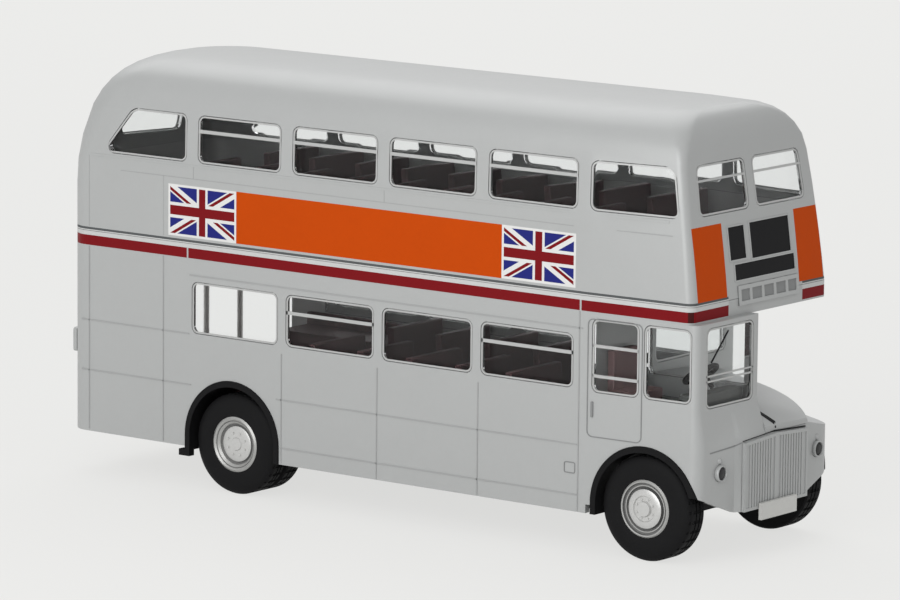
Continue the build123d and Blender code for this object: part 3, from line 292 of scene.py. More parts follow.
def plate(across, up, thick, radius=0.0, ring=0.0, rake=(0.0, 0.0), spans=1):
    """A plate drawn in x and y, raised by thick in z. A ring keeps only its border; rake moves its top."""
    bm = bmesh.new()
    bmesh.ops.create_grid(bm, x_segments=spans, y_segments=1, size=0.5)
    for vert in bm.verts:
        share, top = vert.co.x + 0.5, vert.co.y > 0
        low, high = across[0] + rake[0] * top, across[1] + rake[1] * top
        vert.co = Vector((low + (high - low) * share, up[top], 0.0))
    if radius:
        bevel = {"offset": radius, "affect": "VERTICES", "segments": 4, "profile": 0.5, "material": -1}
        bmesh.ops.bevel(bm, geom=bm.verts[:], **bevel)
    if ring:
        inner = bm.faces[:]
        bmesh.ops.inset_region(bm, faces=inner, thickness=ring, use_even_offset=True, use_boundary=True)
        bmesh.ops.delete(bm, geom=inner, context="FACES_ONLY")
    grown = bmesh.ops.extrude_face_region(bm, geom=bm.faces[:])["geom"]
    raised = [part for part in grown if isinstance(part, bmesh.types.BMVert)]
    bmesh.ops.translate(bm, verts=raised, vec=(0, 0, thick))
    return bm


def gather(target, part, place, ink=0):
    """Adds a part to another mesh, each point set by place from its local point in millimetres."""
    for vert in part.verts:
        vert.co = Vector(place(vert.co)) * MM
    bmesh.ops.recalc_face_normals(part, faces=part.faces[:])
    for face in part.faces:
        face.material_index = ink
    scratch = bpy.data.meshes.new("scratch")
    part.to_mesh(scratch)
    part.free()
    target.from_mesh(scratch)
    bpy.data.meshes.remove(scratch)


def on_upper_front(sink=0.0):
    return lambda point: (upper_front_x(point.y) - sink + point.z, point.x, point.y)


def on_upper_side(sign, sink=0.0):
    return lambda point: (point.x, sign * (upper_side_y(point.x, point.y) - sink + point.z), point.y)


VENT_Y, VENT_Z, VENT_CELLS, VENT_BAR, VENT_PROUD = (-4.4, 7.4), (28.4, 30.6), 5, 0.45, 0.16
BLIND_EDGE, BLIND_RIM, BLIND_PROUD = 0.14, 0.16, 0.08
upper_trim = bmesh.new()
for (y_low, z_low), (y_high, z_high) in BLINDS:
    across, up = (y_low - BLIND_EDGE, y_high + BLIND_EDGE), (z_low - BLIND_EDGE, z_high + BLIND_EDGE)
    gather(upper_trim, plate(across, up, BLIND_PROUD, ring=BLIND_RIM), on_upper_front(0.01))
gather(upper_trim, plate(VENT_Y, VENT_Z, 0.04), on_upper_front(), ink=1)
gather(upper_trim, plate(VENT_Y, VENT_Z, VENT_PROUD, ring=VENT_BAR), on_upper_front())
for cell in range(1, VENT_CELLS):
    middle = VENT_Y[0] + (VENT_Y[1] - VENT_Y[0]) * cell / VENT_CELLS
    bar = plate((middle - VENT_BAR / 2, middle + VENT_BAR / 2), VENT_Z, VENT_PROUD)
    gather(upper_trim, bar, on_upper_front())
LEDGES = (
    # low x, high x, low z, high z, proud
    (-42.6, 40.5, 38.3, 38.55, 0.06),
    (-38.0, 41.0, 36.85, 36.95, 0.03),
    (-26.9, -26.8, 36.95, 38.3, 0.03),
    (1.4, 1.5, 36.95, 38.3, 0.03),
    (-42.95, -42.85, 29.8, 38.3, 0.03),
    (-31.45, -31.35, 29.8, 36.9, 0.03),
)
for x_low, x_high, z_low, z_high, proud in LEDGES:
    for sign in (-1, 1):
        ledge = plate((x_low, x_high), (z_low, z_high), proud, spans=12)
        gather(upper_trim, ledge, on_upper_side(sign, 0.01), ink=2 if proud < 0.05 else 0)
# Darker greys for painted shade: in the vent's recessed cells, in the panels' grooves and on the finest
# lines.
RECESS_SHADE_GREY = moulded("recess_painted_shade", (0.22, 0.225, 0.225), 0.5, Specular_IOR_Level=0.2)
BEAD_SHADE_GREY = moulded("bead_painted_shade", (0.33, 0.336, 0.335), 0.5, Specular_IOR_Level=0.2)
piece(upper_trim, "upper_trim", "bus", "silver_body", [SILVER, RECESS_SHADE_GREY, BEAD_SHADE_GREY])

# Lower deck: side walls, half cab, front panel and wings in one silver moulding, with a dark red line
# printed under the joint of the decks. It stops short of the front's middle; where it turns each front
# corner its red is darker, painted shade.
STRIPE_Z, STRIPE_BREAKS, BREAK_HALF = (27.5, 28.7), (-PAST_END, -27.7, 29.3, PAST_END), 0.12
JOINT_BAND_Z, CORNER_TURN = 29.3, 0.45
lower = node_copy("lower_shell")
for sign in (-1, 1):
    beside = Vector((0, sign, 0))
    for low, high in zip(STRIPE_BREAKS, STRIPE_BREAKS[1:]):
        ends = (low + BREAK_HALF, STRIPE_Z[0]), (high - BREAK_HALF, STRIPE_Z[1])
        print_zone(lower, beside, SIDE, *ends, RED)
    print_zone(lower, beside, SIDE, (-PAST_END, STRIPE_Z[1]), (PAST_END, JOINT_BAND_Z), LIGHT)
for facing, spans in ((-1, ((-PAST_SIDE, PAST_SIDE),)), (1, FRONT_BANDS)):
    for low, high in spans:
        print_zone(lower, Vector((facing, 0, 0)), FRONT, (low, STRIPE_Z[0]), (high, STRIPE_Z[1]), RED)
        print_zone(lower, Vector((facing, 0, 0)), FRONT, (low, STRIPE_Z[1]), (high, JOINT_BAND_Z), LIGHT)
# Painted shade: the stripe's faces that turn between side and front take the darker red.
for face in lower.faces:
    if face.material_index == RED and min(face.normal.x, abs(face.normal.y)) > CORNER_TURN:
        face.material_index = CORNER_SHADE
piece(lower, "lower_deck", "bus", "silver_body", INKS_AND_SHADES, "lower_shell")

# Lower deck dressing: panel joints and ledges as fine raised beads, the cab door's outline and handle,
# a filler flap and the shut line over the front panel, drawn as thin dark strips set on the moulding.
# The beads, outline, flap and shut line are darker as painted shade of grooves; the handle shares the
# grey.
CAB_FRONT_X, FRONT_TAPER = 44.85, 0.6
WING_X, WING_Y, APRON_Y, GRILLE_Y, GRILLE_X = 45.2, 13.4, 7.0, 6.3, 46.1
APRON_REACH, FLANK_REACH, APRON_FALL, FLANK_RISE = 0.4, 0.5, 0.06, 0.3


def lower_side_y(x):
    """Half the lower deck's width at x: the sides draw in ahead of the bulkhead."""
    return HALF_WIDTH - FRONT_TAPER * max(x - BULKHEAD_X, 0.0) / (CAB_FRONT_X - BULKHEAD_X)


def on_lower_side(sign, sink=0.0):
    return lambda point: (point.x, sign * (lower_side_y(point.x) - sink + point.z), point.y)


def on_apron(point):
    """The front panel beside the grille, which comes forward from the wing to the grille in two slopes."""
    slope = min((WING_Y + point.x) / (WING_Y - APRON_Y), 1.0)
    flank = max(point.x + APRON_Y, 0.0) / (APRON_Y - GRILLE_Y)
    x = WING_X + APRON_REACH * slope + FLANK_REACH * flank + point.z
    return (x, point.x, point.y + APRON_FALL * point.x + FLANK_RISE * flank)


BEAD, BEAD_PROUD, LINE, PLATFORM_X = 0.15, 0.06, 0.11, -33.0
BEADS = (
    # low x, high x, low z, high z: rear panel, then the middle bays
    (-42.9, -42.9, 5.4, 27.3),
    (-31.4, -31.4, 5.3, 27.3),
    (-44.0, -27.5, 18.5, 18.5),
    (-44.0, -27.2, 12.45, 12.45),
    (-13.5, -13.5, 4.8, 17.6),
    (0.6, 0.6, 4.8, 17.6),
    (15.1, 15.1, 4.8, 17.6),
    (29.2, 29.2, 4.8, 27.3),
    (-14.2, 29.0, 12.25, 12.25),
    (-13.4, 29.0, 6.55, 6.55),
    (-27.3, 29.6, 25.5, 25.5),
)
DOOR, HANDLE = ((30.35, 37.65), (13.35, 26.75)), ((30.9, 31.2), (15.6, 17.4))
FLAP = ((27.3, 28.85), (8.9, 10.2))
SHUT_LINE = ((-11.4, -6.32), (13.46, 13.62))
lower_trim = bmesh.new()
for x_low, x_high, z_low, z_high in BEADS:
    for sign in (-1, 1):
        if sign < 0 or x_low > PLATFORM_X:
            across, up = (x_low - BEAD / 2, x_high + BEAD / 2), (z_low - BEAD / 2, z_high + BEAD / 2)
            gather(lower_trim, plate(across, up, BEAD_PROUD), on_lower_side(sign), ink=2)
gather(lower_trim, plate(*DOOR, BEAD_PROUD, radius=0.7, ring=LINE), on_lower_side(-1), ink=1)
gather(lower_trim, plate(*HANDLE, 0.13, radius=0.12), on_lower_side(-1), ink=1)
gather(lower_trim, plate(*FLAP, BEAD_PROUD, radius=0.25, ring=LINE), on_lower_side(-1), ink=1)
gather(lower_trim, plate(*SHUT_LINE, 0.03, spans=8), on_apron, ink=1)
piece(lower_trim, "lower_trim", "bus", "silver_body", [SILVER, RECESS_SHADE_GREY, BEAD_SHADE_GREY])

# Window frames: thin bright frames on every pane, half-drop bars on the opening lights, the bars of the
# cab door and windscreen, and the driver's black wiper.
UPPER_Z, BAY_X, BAY_PITCH, BAY_LENGTH = (38.8, 44.5), -40.35, 14.15, 12.5
LOWER_Z, LOWER_BAY_X, LOWER_BAY_LENGTH = (18.59, 24.79), -41.2, 13.0
CAB_Z, SCREEN_Z, SCREEN_Y = (18.4, 26.8), (17.7, 26.8), (-11.7, -2.5)
DOOR_PANE_X, CAB_PANE_X, CAB_INNER_Y = (30.9, 37.2), (37.8, 44.1), -1.7
FRAME, FRAME_THICK, FRAME_INSET, FRAME_CORNER, SINK = 0.2, 0.12, 0.09, 0.8, 0.16
LIGHT_BAR, QUARTER_RAKE, QUARTER_GROWTH, FRONT_PILLAR = 0.4, 4.7, 0.6, 0.9
FRONT_PANE_Y, FRONT_PANE_RAKE = (0.65, 10.4), 0.36
WIPER_LENGTH, WIPER_TURN, WIPER_PIVOT = 4.6, math.radians(-45), Vector((-10.8, 22.9, 0.12))
FRAME_SILVER = moulded("frame_silver", (0.44, 0.445, 0.44), 0.35, mottle=0.03, Metallic=0.3)
frames = bmesh.new()


def frame_and_bars(across, up, place, bars=(), rake=(0.0, 0.0)):
    """A frame just inside a window's edge, with level bars at given heights."""
    across = (across[0] + FRAME_INSET, across[1] - FRAME_INSET)
    up = (up[0] + FRAME_INSET, up[1] - FRAME_INSET)
    gather(frames, plate(across, up, FRAME_THICK, radius=FRAME_CORNER, ring=FRAME, rake=rake), place)
    for z, height in bars:
        gather(frames, plate(across, (z - height / 2, z + height / 2), FRAME_THICK, spans=6), place)


def on_upper_rear(point):
    return (upper_rear_x(point.y) + SINK - point.z, point.x, point.y)


def on_screen(point):
    return (CAB_FRONT_X - SINK + point.z, point.x, point.y)


def on_near_screen(point):
    return (point.x, CAB_INNER_Y - SINK + point.z, point.y)


def on_bulkhead(point):
    return (BULKHEAD_X - SINK + point.z, point.x, point.y)


for sign in (-1, 1):
    side = on_upper_side(sign, SINK)
    frame_and_bars((BAY_X - QUARTER_GROWTH, BAY_X + BAY_LENGTH), UPPER_Z, side, rake=(QUARTER_RAKE, 0.0))
    for bay in range(1, 5):
        low = BAY_X + BAY_PITCH * bay
        frame_and_bars((low, low + BAY_LENGTH), UPPER_Z, side, bars=((42.6, LIGHT_BAR),))
        bars = ((22.6, LIGHT_BAR),) if bay in (2, 4) else ()
        low = LOWER_BAY_X + BAY_PITCH * bay
        frame_and_bars((low, low + LOWER_BAY_LENGTH), LOWER_Z, on_lower_side(sign, SINK), bars=bars)
    front_edge = [upper_front_x(z) - FRONT_PILLAR for z in UPPER_Z]
    across = (BAY_X + 5 * BAY_PITCH, front_edge[0])
    frame_and_bars(across, UPPER_Z, side, rake=(0.0, front_edge[1] - front_edge[0]))
    across, rake = FRONT_PANE_Y, (0.0, -FRONT_PANE_RAKE)
    if sign < 0:
        across, rake = (-FRONT_PANE_Y[1], -FRONT_PANE_Y[0]), (FRONT_PANE_RAKE, 0.0)
    frame_and_bars(across, UPPER_Z, on_upper_front(SINK), bars=((42.7, 0.25),), rake=rake)
frame_and_bars((-5.5, 5.5), (39.8, UPPER_Z[1]), on_upper_rear)
frame_and_bars(DOOR_PANE_X, CAB_Z, on_lower_side(-1, SINK), bars=((23.7, 0.35), (20.3, 0.35)))
frame_and_bars(CAB_PANE_X, CAB_Z, on_lower_side(-1, SINK))
frame_and_bars(SCREEN_Y, SCREEN_Z, on_screen, bars=((20.8, 0.2), (21.4, 0.2)))
frame_and_bars((DOOR_PANE_X[0], CAB_PANE_X[1]), (19.0, CAB_Z[1]), on_near_screen)
frame_and_bars((-0.1, 12.4), (19.8, CAB_Z[1]), on_bulkhead)
wiper = plate((-0.09, 0.09), (0.0, WIPER_LENGTH), 0.1, radius=0.05)
sweep = Matrix.Rotation(WIPER_TURN, 3, "Z")
gather(frames, wiper, lambda point: on_screen(sweep @ point + WIPER_PIVOT), ink=1)
piece(frames, "window_frames", "bus", "clear_glazing", [FRAME_SILVER, BLACK_INK])

# Bonnet: one moulding in the body's silver on the nearside wing, beside the half cab. A black seal
# marks its front corner and the shut line over the radiator.
SEAL_ENDS, SEAL_WIDTH = (Vector((44.4, -1.42)), Vector((46.0, 0.45))), 0.44
ABOVE_BONNET, APRON_TOP = 30.0, 14.2
GRILLE_TOP, GRILLE_CROWN, GRILLE_HALF = 13.56, 0.35, 6.25
bonnet = node_copy("bonnet", crease=40.0)
bonnet_top = BVHTree.FromBMesh(bonnet)
seal = bmesh.new()


def on_bonnet(start, end):
    """Lays a strip's length along a line on the bonnet, its height taken from the bonnet below it."""

    def place(point):
        flat = start.lerp(end, point.x) + (end - start).orthogonal().normalized() * point.y
        hit = bonnet_top.ray_cast(Vector((flat.x, flat.y, ABOVE_BONNET)) * MM, Vector((0, 0, -1)))[0]
        return (flat.x, flat.y, (hit.z / MM if hit else APRON_TOP) + point.z)

    return place


strip = plate((0.0, 1.0), (-SEAL_WIDTH / 2, SEAL_WIDTH / 2), 0.1, spans=20)
gather(seal, strip, on_bonnet(*SEAL_ENDS))


def over_grille(point):
    """The front of the grille along its top, which rises to a peak in the middle."""
    top = GRILLE_TOP + GRILLE_CROWN * (1.0 - abs(point.x) / GRILLE_HALF)
    return (GRILLE_X + point.z, point.x, top + point.y)


gather(seal, plate((-0.1, 6.2), (-0.08, 0.08), 0.08, spans=8), over_grille)
gather(seal, plate((-6.2, -0.1), (-0.04, 0.04), 0.06, spans=8), over_grille)
piece(bonnet, "bonnet_cover", "bus", "silver_body", [SILVER], "bonnet")
piece(seal, "bonnet_seal", "bus", "black_chassis", [BLACK_INK])

# Radiator grille: a silver moulding with upright ribs, set in front of the panel. The plate at its foot
# is left blank: pale, with a raised edge.
piece(node_copy("radiator_grille"), "grille", "bus", "silver_body", [SILVER], "radiator_grille")
PALE = moulded("pale_plastic", (0.55, 0.55, 0.53), 0.45)
PLATE_RIM, PLATE_SUNK = 0.14, 0.06
blank = node_copy("front_plate")
blank_face = [face for face in blank.faces if face.normal.x > 0.9]
blank_face = bmesh.ops.dissolve_faces(blank, faces=blank_face)["region"]
rim = {"thickness": PLATE_RIM * MM, "depth": -PLATE_SUNK * MM, "use_even_offset": True}
bmesh.ops.inset_region(blank, faces=blank_face, **rim)
piece(blank, "plate_blank", "bus", "blank_plate", [PALE], "front_plate")

# Headlamps: dark lenses in bright turned bezels, pushed into the front panel, with a small silver side
# lamp above each.


def turned(profile, steps=48):
    """Spins a profile of radius and height about the local z axis."""
    bm = bmesh.new()
    points = [bmesh.ops.create_vert(bm, co=(radius, 0.0, height))["vert"][0] for radius, height in profile]
    edges = []
    for pair in zip(points, points[1:]):
        edges += bmesh.ops.contextual_create(bm, geom=list(pair))["edges"]
    turn = {"cent": (0, 0, 0), "axis": (0, 0, 1), "dvec": (0, 0, 0), "angle": math.tau, "steps": steps}
    bmesh.ops.spin(bm, geom=points + edges, use_merge=True, use_duplicate=False, **turn)
    bmesh.ops.remove_doubles(bm, verts=bm.verts[:], dist=0.001)
    bmesh.ops.recalc_face_normals(bm, faces=bm.faces[:])
    for face in bm.faces:
        face.smooth = True
    return bm


LAMP_Y, LAMP_Z, LAMP_X = 9.6, 10.4, 45.6
BEZEL = ((0.95, -0.5), (0.95, 0.1), (0.9, 0.26), (0.83, 0.3), (0.76, 0.22), (0.76, -0.5), (0.95, -0.5))
LENS = ((0.77, -0.4), (0.77, 0.08), (0.56, 0.17), (0.28, 0.21), (0.0, 0.22))
SIDELIGHT = ((0.36, -0.3), (0.36, 0.0), (0.27, 0.12), (0.12, 0.17), (0.0, 0.18))
SIDELIGHT_Z, SIDELIGHT_X, LAMP_STEPS = 11.75, 45.44, 40
LAMP_PARTS = (
    # profile, height, front, finish
    (BEZEL, LAMP_Z, LAMP_X, 0),
    (LENS, LAMP_Z, LAMP_X, 1),
    (SIDELIGHT, SIDELIGHT_Z, SIDELIGHT_X, 0),
)
DARK_LENS = moulded(
    "dark_lens", (0.02, 0.02, 0.021), 0.3, scale=900.0, relief=0.03, Specular_IOR_Level=0.25
)
lamps = bmesh.new()
for side in (-1, 1):
    for profile, z, x, ink in LAMP_PARTS:
        gather(lamps, turned(profile, LAMP_STEPS), lambda p: (x + p.z, side * LAMP_Y + p.x, z + p.y), ink)
piece(lamps, "lamp_set", "bus", "lamp_lens", [SILVER, DARK_LENS], "headlamps")

# Tail box: a small silver box on the rear wall with a red lens and a blank pane below it, both flush
# with its face.
TAIL_Y, TAIL_LENS_Z, TAIL_PANE_Z = (-11.8, -9.8), (15.7, 16.6), (14.3, 15.4)
RED_LENS = moulded("red_lens", (0.35, 0.01, 0.012), 0.15, scale=900.0, relief=0.03, Coat_Weight=0.4)
tail = node_copy("tail_box")
for ink, (low, high) in enumerate((TAIL_LENS_Z, TAIL_PANE_Z), start=1):
    print_zone(tail, Vector((-1, 0, 0)), FRONT, (TAIL_Y[0], low), (TAIL_Y[1], high), ink)
piece(tail, "tail_lamp_box", "bus", "silver_body", [SILVER, RED_LENS, PALE], "tail_box")

# Glazing: clear moulded plastic inserts, one to each deck and one to the cab, that clip in from the
# inside and stand out into every window.
CLEAR_SOCKETS = {"Transmission_Weight": 1.0, "IOR": 1.25, "Specular_IOR_Level": 0.4}
CLEAR = moulded(
    "clear_plastic", (0.95, 0.96, 0.96), 0.03, mottle=0.02, spread=0.04, relief=0.001, **CLEAR_SOCKETS
)
for node in ("upper_glazing", "lower_glazing", "cab_glazing"):
    piece(node_copy(node), node + "_clear", "bus", "clear_glazing", [CLEAR], node)

# Saloons, stairs and poles: floors and seats moulded in one in dark maroon, edges softened by the
# mould; the stairs are a moulding of their own, and the poles are pale rods.
EDGE_SOFTNESS, SQUARE_ANGLES = 0.14, (1.2, 1.9)
MAROON = moulded(
    "maroon_moulding", (0.085, 0.040, 0.044), 0.55, mottle=0.25, scale=600.0, Specular_IOR_Level=0.25
)


def softened(node):
    """A copy of a square-edged node with its flats made whole and its edges bevelled."""
    bm = node_copy(node)
    bmesh.ops.dissolve_limit(bm, angle_limit=0.02, verts=bm.verts[:], edges=bm.edges[:])
    bm.normal_update()
    low, high = SQUARE_ANGLES
    edges = [e for e in bm.edges if e.is_manifold and low < e.calc_face_angle() < high and e.is_convex]
    bevel = {"affect": "EDGES", "segments": 2, "profile": 0.5, "material": -1}
    bmesh.ops.bevel(bm, geom=edges, offset=EDGE_SOFTNESS * MM, clamp_overlap=True, **bevel)
    return bm


for node in ("upper_saloon", "lower_saloon", "staircase"):
    piece(softened(node), node + "_moulding", "bus", "maroon_seats", [MAROON], node)
piece(node_copy("platform_poles"), "poles", "bus", "pale_pole", [PALE], "platform_poles")

# Cab: floor and dash in dark grey with a dull maroon driver's seat, and a black steering wheel on its
# column.
CAB_GREY = moulded("cab_grey", (0.085, 0.09, 0.085), 0.55, mottle=0.15, Specular_IOR_Level=0.25)
BLACK_MOULD = moulded("black_moulding", (0.007, 0.007, 0.0075), 0.5, mottle=0.25, Specular_IOR_Level=0.1)
CAB_SEAT = moulded("cab_seat_maroon", (0.22, 0.13, 0.13), 0.55, mottle=0.15, Specular_IOR_Level=0.25)
SEAT_REACH, SEAT_HALF, CAB_FLOOR_Z = 4.5, 2.45, 14.8
cab = softened("cab_interior")
seat_back = min(vert.co.x for vert in cab.verts) / MM
sides = [vert.co.y / MM for vert in cab.verts]
seat_middle = (min(sides) + max(sides)) / 2
for face in cab.faces:
    spot = face.calc_center_median() / MM
    beside = abs(spot.y - seat_middle)
    if spot.x < seat_back + SEAT_REACH and beside < SEAT_HALF and spot.z > CAB_FLOOR_Z:
        face.material_index = 1
piece(cab, "cab_moulding", "bus", "dark_cab", [CAB_GREY, CAB_SEAT], "cab_interior")
column = node_copy("steering_wheel")
piece(column, "wheel_and_column", "bus", "black_chassis", [BLACK_MOULD], "steering_wheel")

# Chassis and mudguards: black mouldings; the chassis plate snaps into the lower deck and carries both
# axles, the guards line the wheel arches.
for node in ("chassis", "front_mudguards", "rear_mudguards"):
    piece(node_copy(node), node + "_moulding", "bus", "black_chassis", [BLACK_MOULD], node)

# Wheelsets: black tyres with grooved treads on silver centres, pressed on steel axles. The front
# centres stand out, the rear ones are dished; each has a ring of nuts. Dark rings in the centres'
# grooves are painted shade, and the outer ring is a darker silver than the middle, painted reflection.
RUBBER = moulded(
    "tyre_black", (0.008, 0.008, 0.0085), 0.65, mottle=0.3, scale=500.0, Specular_IOR_Level=0.1
)
# Hub and rim: lighter and darker copies of one silver, painted reflection on the centre and its outer
# ring.
HUB = moulded("hub_silver", (0.56, 0.56, 0.55), 0.36, mottle=0.1, scale=700.0, Metallic=0.5)
RIM_DARK_REFLECTION = moulded("rim_silver_painted_reflection", (0.40, 0.40, 0.39), 0.4, mottle=0.15, scale=700.0, Metallic=0.5)
# Dark grey for painted shade in the hubs' grooves.
GROOVE_SHADE = moulded("hub_groove_painted_shade", (0.14, 0.14, 0.138), 0.5, Metallic=0.2)
STEEL = moulded("axle_steel", (0.5, 0.5, 0.5), 0.3, Metallic=1.0)
WHEEL_FACE, AXLE_Z, RIM_R, TREAD_STEPS, HUB_STEPS, CREASE = 13.4, 6.0, 3.28, 96, 64, math.radians(35)
BEAD_R, TREAD_R, CUT_R, TWIN_R, CUT_HALF, TWIN_HALF = 3.3, 5.97, 5.8, 5.3, 0.1, 0.2
NOTCH_EVERY, NOTCH_EDGE, NOTCH_DEPTH, NOTCH_AREA, RIB_R = 3, 0.05, 0.1, 0.1, 5.9
NUTS, NUT = 8, {"segments": 6, "cap_ends": True, "radius1": 0.17, "radius2": 0.14, "depth": 0.2}
OUTER_Y = 12.5
WHEELS = (
    # name, axle x, tyre width, tread bands as depths from the face, nuts' radius and depth,
    # radii of the grooves darkened with painted shade
    ("front", 38.05, 3.1, ((0.85, 2.85),), (1.15, -0.02), ((2.2, 2.5), (2.7, 2.97))),
    ("rear", -20.9, 5.6, ((0.8, 2.3), (3.3, 5.3)), (1.35, 0.28), ((2.1, 2.42), (2.74, 2.82))),
)
HUB_FACES = {
    # radius and depth from the wheel's face, from the rim to the middle
    "front": (
        (3.12, -0.15), (2.98, -0.12), (2.92, 0.15), (2.72, 0.18), (2.68, 0.06), (2.56, 0.06),
        (2.52, 0.4), (2.3, 0.45), (2.22, 0.0), (1.95, -0.15), (1.5, -0.15),
        (1.4, 0.0), (0.9, 0.0), (0.8, -0.3), (0.0, -0.35),
    ),
    "rear": (
        (3.05, -0.15), (2.84, 0.0), (2.82, 0.1), (2.74, 0.14), (2.72, 0.08), (2.46, 0.3),
        (2.4, 0.55), (2.2, 0.6), (2.1, 0.4), (1.9, 0.3), (0.8, 0.3), (0.7, 0.15), (0.0, 0.1),
    ),
}


def tyre_profile(width, bands):
    """Radius and depth round a tyre: bead, bulged wall, shoulder, tread ribs, then the inner wall."""
    points = [(BEAD_R, 0.0), (3.5, -0.1), (4.3, -0.15), (5.0, -0.13), (5.55, 0.05)]
    points += [(5.85, 0.3), (TREAD_R, 0.6)]
    for low, high in bands:
        third = (high - low) / 3
        points.append((TREAD_R, low))
        for cut in (low + third, high - third):
            points += [(TREAD_R, cut - CUT_HALF), (CUT_R, cut - CUT_HALF)]
            points += [(CUT_R, cut + CUT_HALF), (TREAD_R, cut + CUT_HALF)]
        points.append((TREAD_R, high))
        if high < width / 2:
            points += [(TWIN_R, width / 2 - TWIN_HALF), (TWIN_R, width / 2 + TWIN_HALF)]
    return points + [(TREAD_R, width - 0.2), (CUT_R, width), (BEAD_R, width), (BEAD_R, 0.0)]


def treaded_tyre(width, bands):
    """A spun tyre whose outermost ribs are cut across by short notches."""
    bm = turned(tyre_profile(width, bands), TREAD_STEPS)
    ribs = []
    for face in bm.faces:
        middle = face.calc_center_median()
        step = int(math.atan2(middle.y, middle.x) % math.tau / math.tau * TREAD_STEPS)
        radius = math.hypot(middle.x, middle.y)
        across = step % NOTCH_EVERY == 0 and abs(face.normal.z) < 0.5
        if across and radius > RIB_R and face.calc_area() > NOTCH_AREA:
            ribs.append(face)
    notch = {"thickness": NOTCH_EDGE, "depth": -NOTCH_DEPTH, "use_even_offset": True}
    bmesh.ops.inset_individual(bm, faces=ribs, **notch)
    return bm


for end, axle_x, width, bands, (nut_r, nut_depth), shaded_grooves in WHEELS:
    body = end + "_wheelset"
    tyres, hubs, nuts = bmesh.new(), bmesh.new(), bmesh.new()
    for side in (-1, 1):

        def on_wheel(point, depth=0.0):
            return (axle_x + point.x, side * (WHEEL_FACE - depth - point.z), AXLE_Z + point.y)

        gather(tyres, treaded_tyre(width, bands), on_wheel)
        barrel = ((0.0, width), (RIM_R, width), (RIM_R, 0.0))
        gather(hubs, turned(barrel + HUB_FACES[end], HUB_STEPS), on_wheel)
        for index in range(NUTS):
            angle = math.tau * (index + 0.5) / NUTS
            nut = bmesh.new()
            bmesh.ops.create_cone(nut, **NUT)
            centre = Vector((nut_r * math.cos(angle), nut_r * math.sin(angle), 0.0))
            gather(nuts, nut, lambda p: on_wheel(centre + Vector((p.x, p.y, -p.z)), nut_depth))
    for spun in (tyres, hubs):
        for face in spun.faces:
            face.smooth = True
        for edge in spun.edges:
            edge.smooth = edge.is_manifold and edge.calc_face_angle() < CREASE
    piece(tyres, end + "_tyre_pair", body, "black_tyre", [RUBBER], end + "_tyres")
    piece(nuts, end + "_wheel_nuts", body, "silver_hub", [HUB])
    # Grooves on the outer face take painted shade; the ring beyond the first groove takes the darker
    # silver of painted reflection.
    for face in hubs.faces:
        ring = [vert.co / MM for vert in face.verts]
        radius = sum(math.hypot(spot.x - axle_x, spot.z - AXLE_Z) for spot in ring) / len(ring)
        if any(low < radius < high for low, high in shaded_grooves) and abs(ring[0].y) > OUTER_Y:
            face.material_index = 1
        elif radius > shaded_grooves[0][1]:
            face.material_index = 2
    piece(hubs, end + "_hub_pair", body, "silver_hub", [HUB, GROOVE_SHADE, RIM_DARK_REFLECTION], end + "_hubs")
    piece(node_copy(end + "_axle"), end + "_axle_rod", body, "steel_axle", [STEEL], end + "_axle")

# Stage: a pale card floor that fills the view, an even white surround, a soft key towards the offside
# and a large one over the roof from behind. The card glows only where it is seen, directly, in gloss or
# through glass, so the glow lights nothing.
CARD_TONE, CARD_BOUNCE = (0.13, 0.13, 0.128, 1.0), (0.78, 0.78, 0.77, 1.0)
CARD_GLOW, GLOW_COLOUR, CARD_SIZE = 0.69, (1.0, 1.0, 0.985, 1.0), 4.0
SURROUND_STRENGTH = 0.67
FLOOR = bpy.data.materials.new("floor_card")
FLOOR.use_nodes = True
card_nodes, card_links = FLOOR.node_tree.nodes, FLOOR.node_tree.links
card_shader = card_nodes["Principled BSDF"]
for socket, value in (("Roughness", 0.8), ("Specular IOR Level", 0.0), ("Emission Color", GLOW_COLOUR)):
    card_shader.inputs[socket].default_value = value
rays = card_nodes.new("ShaderNodeLightPath").outputs
seen = rays["Is Camera Ray"]
for ray in ("Is Glossy Ray", "Is Transmission Ray"):
    either = card_nodes.new("ShaderNodeMath")
    either.operation = "MAXIMUM"
    card_links.new(seen, either.inputs[0])
    card_links.new(rays[ray], either.inputs[1])
    seen = either.outputs[0]
glow = card_nodes.new("ShaderNodeMath")
glow.operation = "MULTIPLY"
glow.inputs[1].default_value = CARD_GLOW
card_links.new(seen, glow.inputs[0])
card_links.new(glow.outputs[0], card_shader.inputs["Emission Strength"])
tone = card_nodes.new("ShaderNodeMix")
tone.data_type = "RGBA"
colours = [socket for socket in tone.inputs if socket.type == "RGBA"]
colours[0].default_value, colours[1].default_value = CARD_BOUNCE, CARD_TONE
card_links.new(seen, tone.inputs["Factor"])
mixed = next(socket for socket in tone.outputs if socket.type == "RGBA")
card_links.new(mixed, card_shader.inputs["Base Color"])
card = bmesh.new()
bmesh.ops.create_grid(card, x_segments=1, y_segments=1, size=CARD_SIZE)
card_mesh = bpy.data.meshes.new("floor")
card.to_mesh(card_mesh)
card.free()
card_mesh.materials.append(FLOOR)
floor = bpy.data.objects.new("floor", card_mesh)
bpy.context.scene.collection.objects.link(floor)
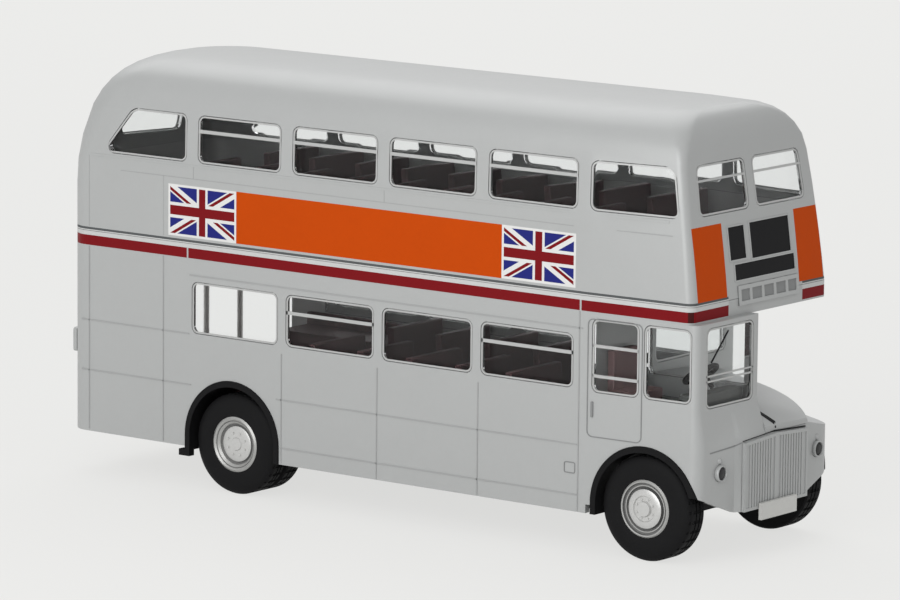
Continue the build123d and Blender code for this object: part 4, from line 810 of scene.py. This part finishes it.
world = bpy.data.worlds.new("studio")
bpy.context.scene.world = world
world.use_nodes = True
surround = world.node_tree.nodes["Background"]
surround.inputs["Color"].default_value = (1.0, 1.0, 1.0, 1.0)
surround.inputs["Strength"].default_value = SURROUND_STRENGTH
LIGHTS = (
    # name, place in metres, watts, size
    ("key", (0.06, -0.3, 0.15), 0.6, 0.25),
    ("top", (-0.4, 0.5, 0.7), 3.7, 0.9),
)
LIGHTS_AIM = Vector((0.0, 0.0, 0.02))
for name, place, energy, size in LIGHTS:
    light = bpy.data.lights.new(name, "AREA")
    light.energy = energy
    light.size = size
    lamp = bpy.data.objects.new(name, light)
    aim = LIGHTS_AIM - Vector(place)
    facing = aim.to_track_quat("-Z", "Y").to_matrix().to_4x4()
    lamp.matrix_world = Matrix.Translation(place) @ facing
    bpy.context.scene.collection.objects.link(lamp)
bpy.context.scene.view_settings.view_transform = "Standard"

# Camera: a long lens a little above the roof, towards the front and the offside, at the photo's view.
CAMERA_PLACE, CAMERA_ANGLES = (401.91, -527.47, 133.4), (37.281, 9.39, 0.573)
LENS_LENGTH, SENSOR_WIDTH = 231.08, 36.0
camera_data = bpy.data.cameras.new("photo_camera")
camera_data.sensor_width = SENSOR_WIDTH
camera_data.lens = LENS_LENGTH
camera_data.clip_start = 0.01
camera_data.clip_end = 10.0
camera = bpy.data.objects.new("photo_camera", camera_data)
bpy.context.scene.collection.objects.link(camera)
yaw, pitch, roll = (math.radians(angle) for angle in CAMERA_ANGLES)
ahead = Vector((-math.sin(yaw), math.cos(yaw), 0.0))
forward = ahead * math.cos(pitch) - Vector((0.0, 0.0, math.sin(pitch)))
level = Vector((math.cos(yaw), math.sin(yaw), 0.0))
overhead = level.cross(forward)
right = level * math.cos(roll) + overhead * math.sin(roll)
up = overhead * math.cos(roll) - level * math.sin(roll)
turn = Matrix((right, up, -forward)).transposed().to_4x4()
camera.matrix_world = Matrix.Translation(Vector(CAMERA_PLACE) * MM) @ turn
bpy.context.scene.camera = camera
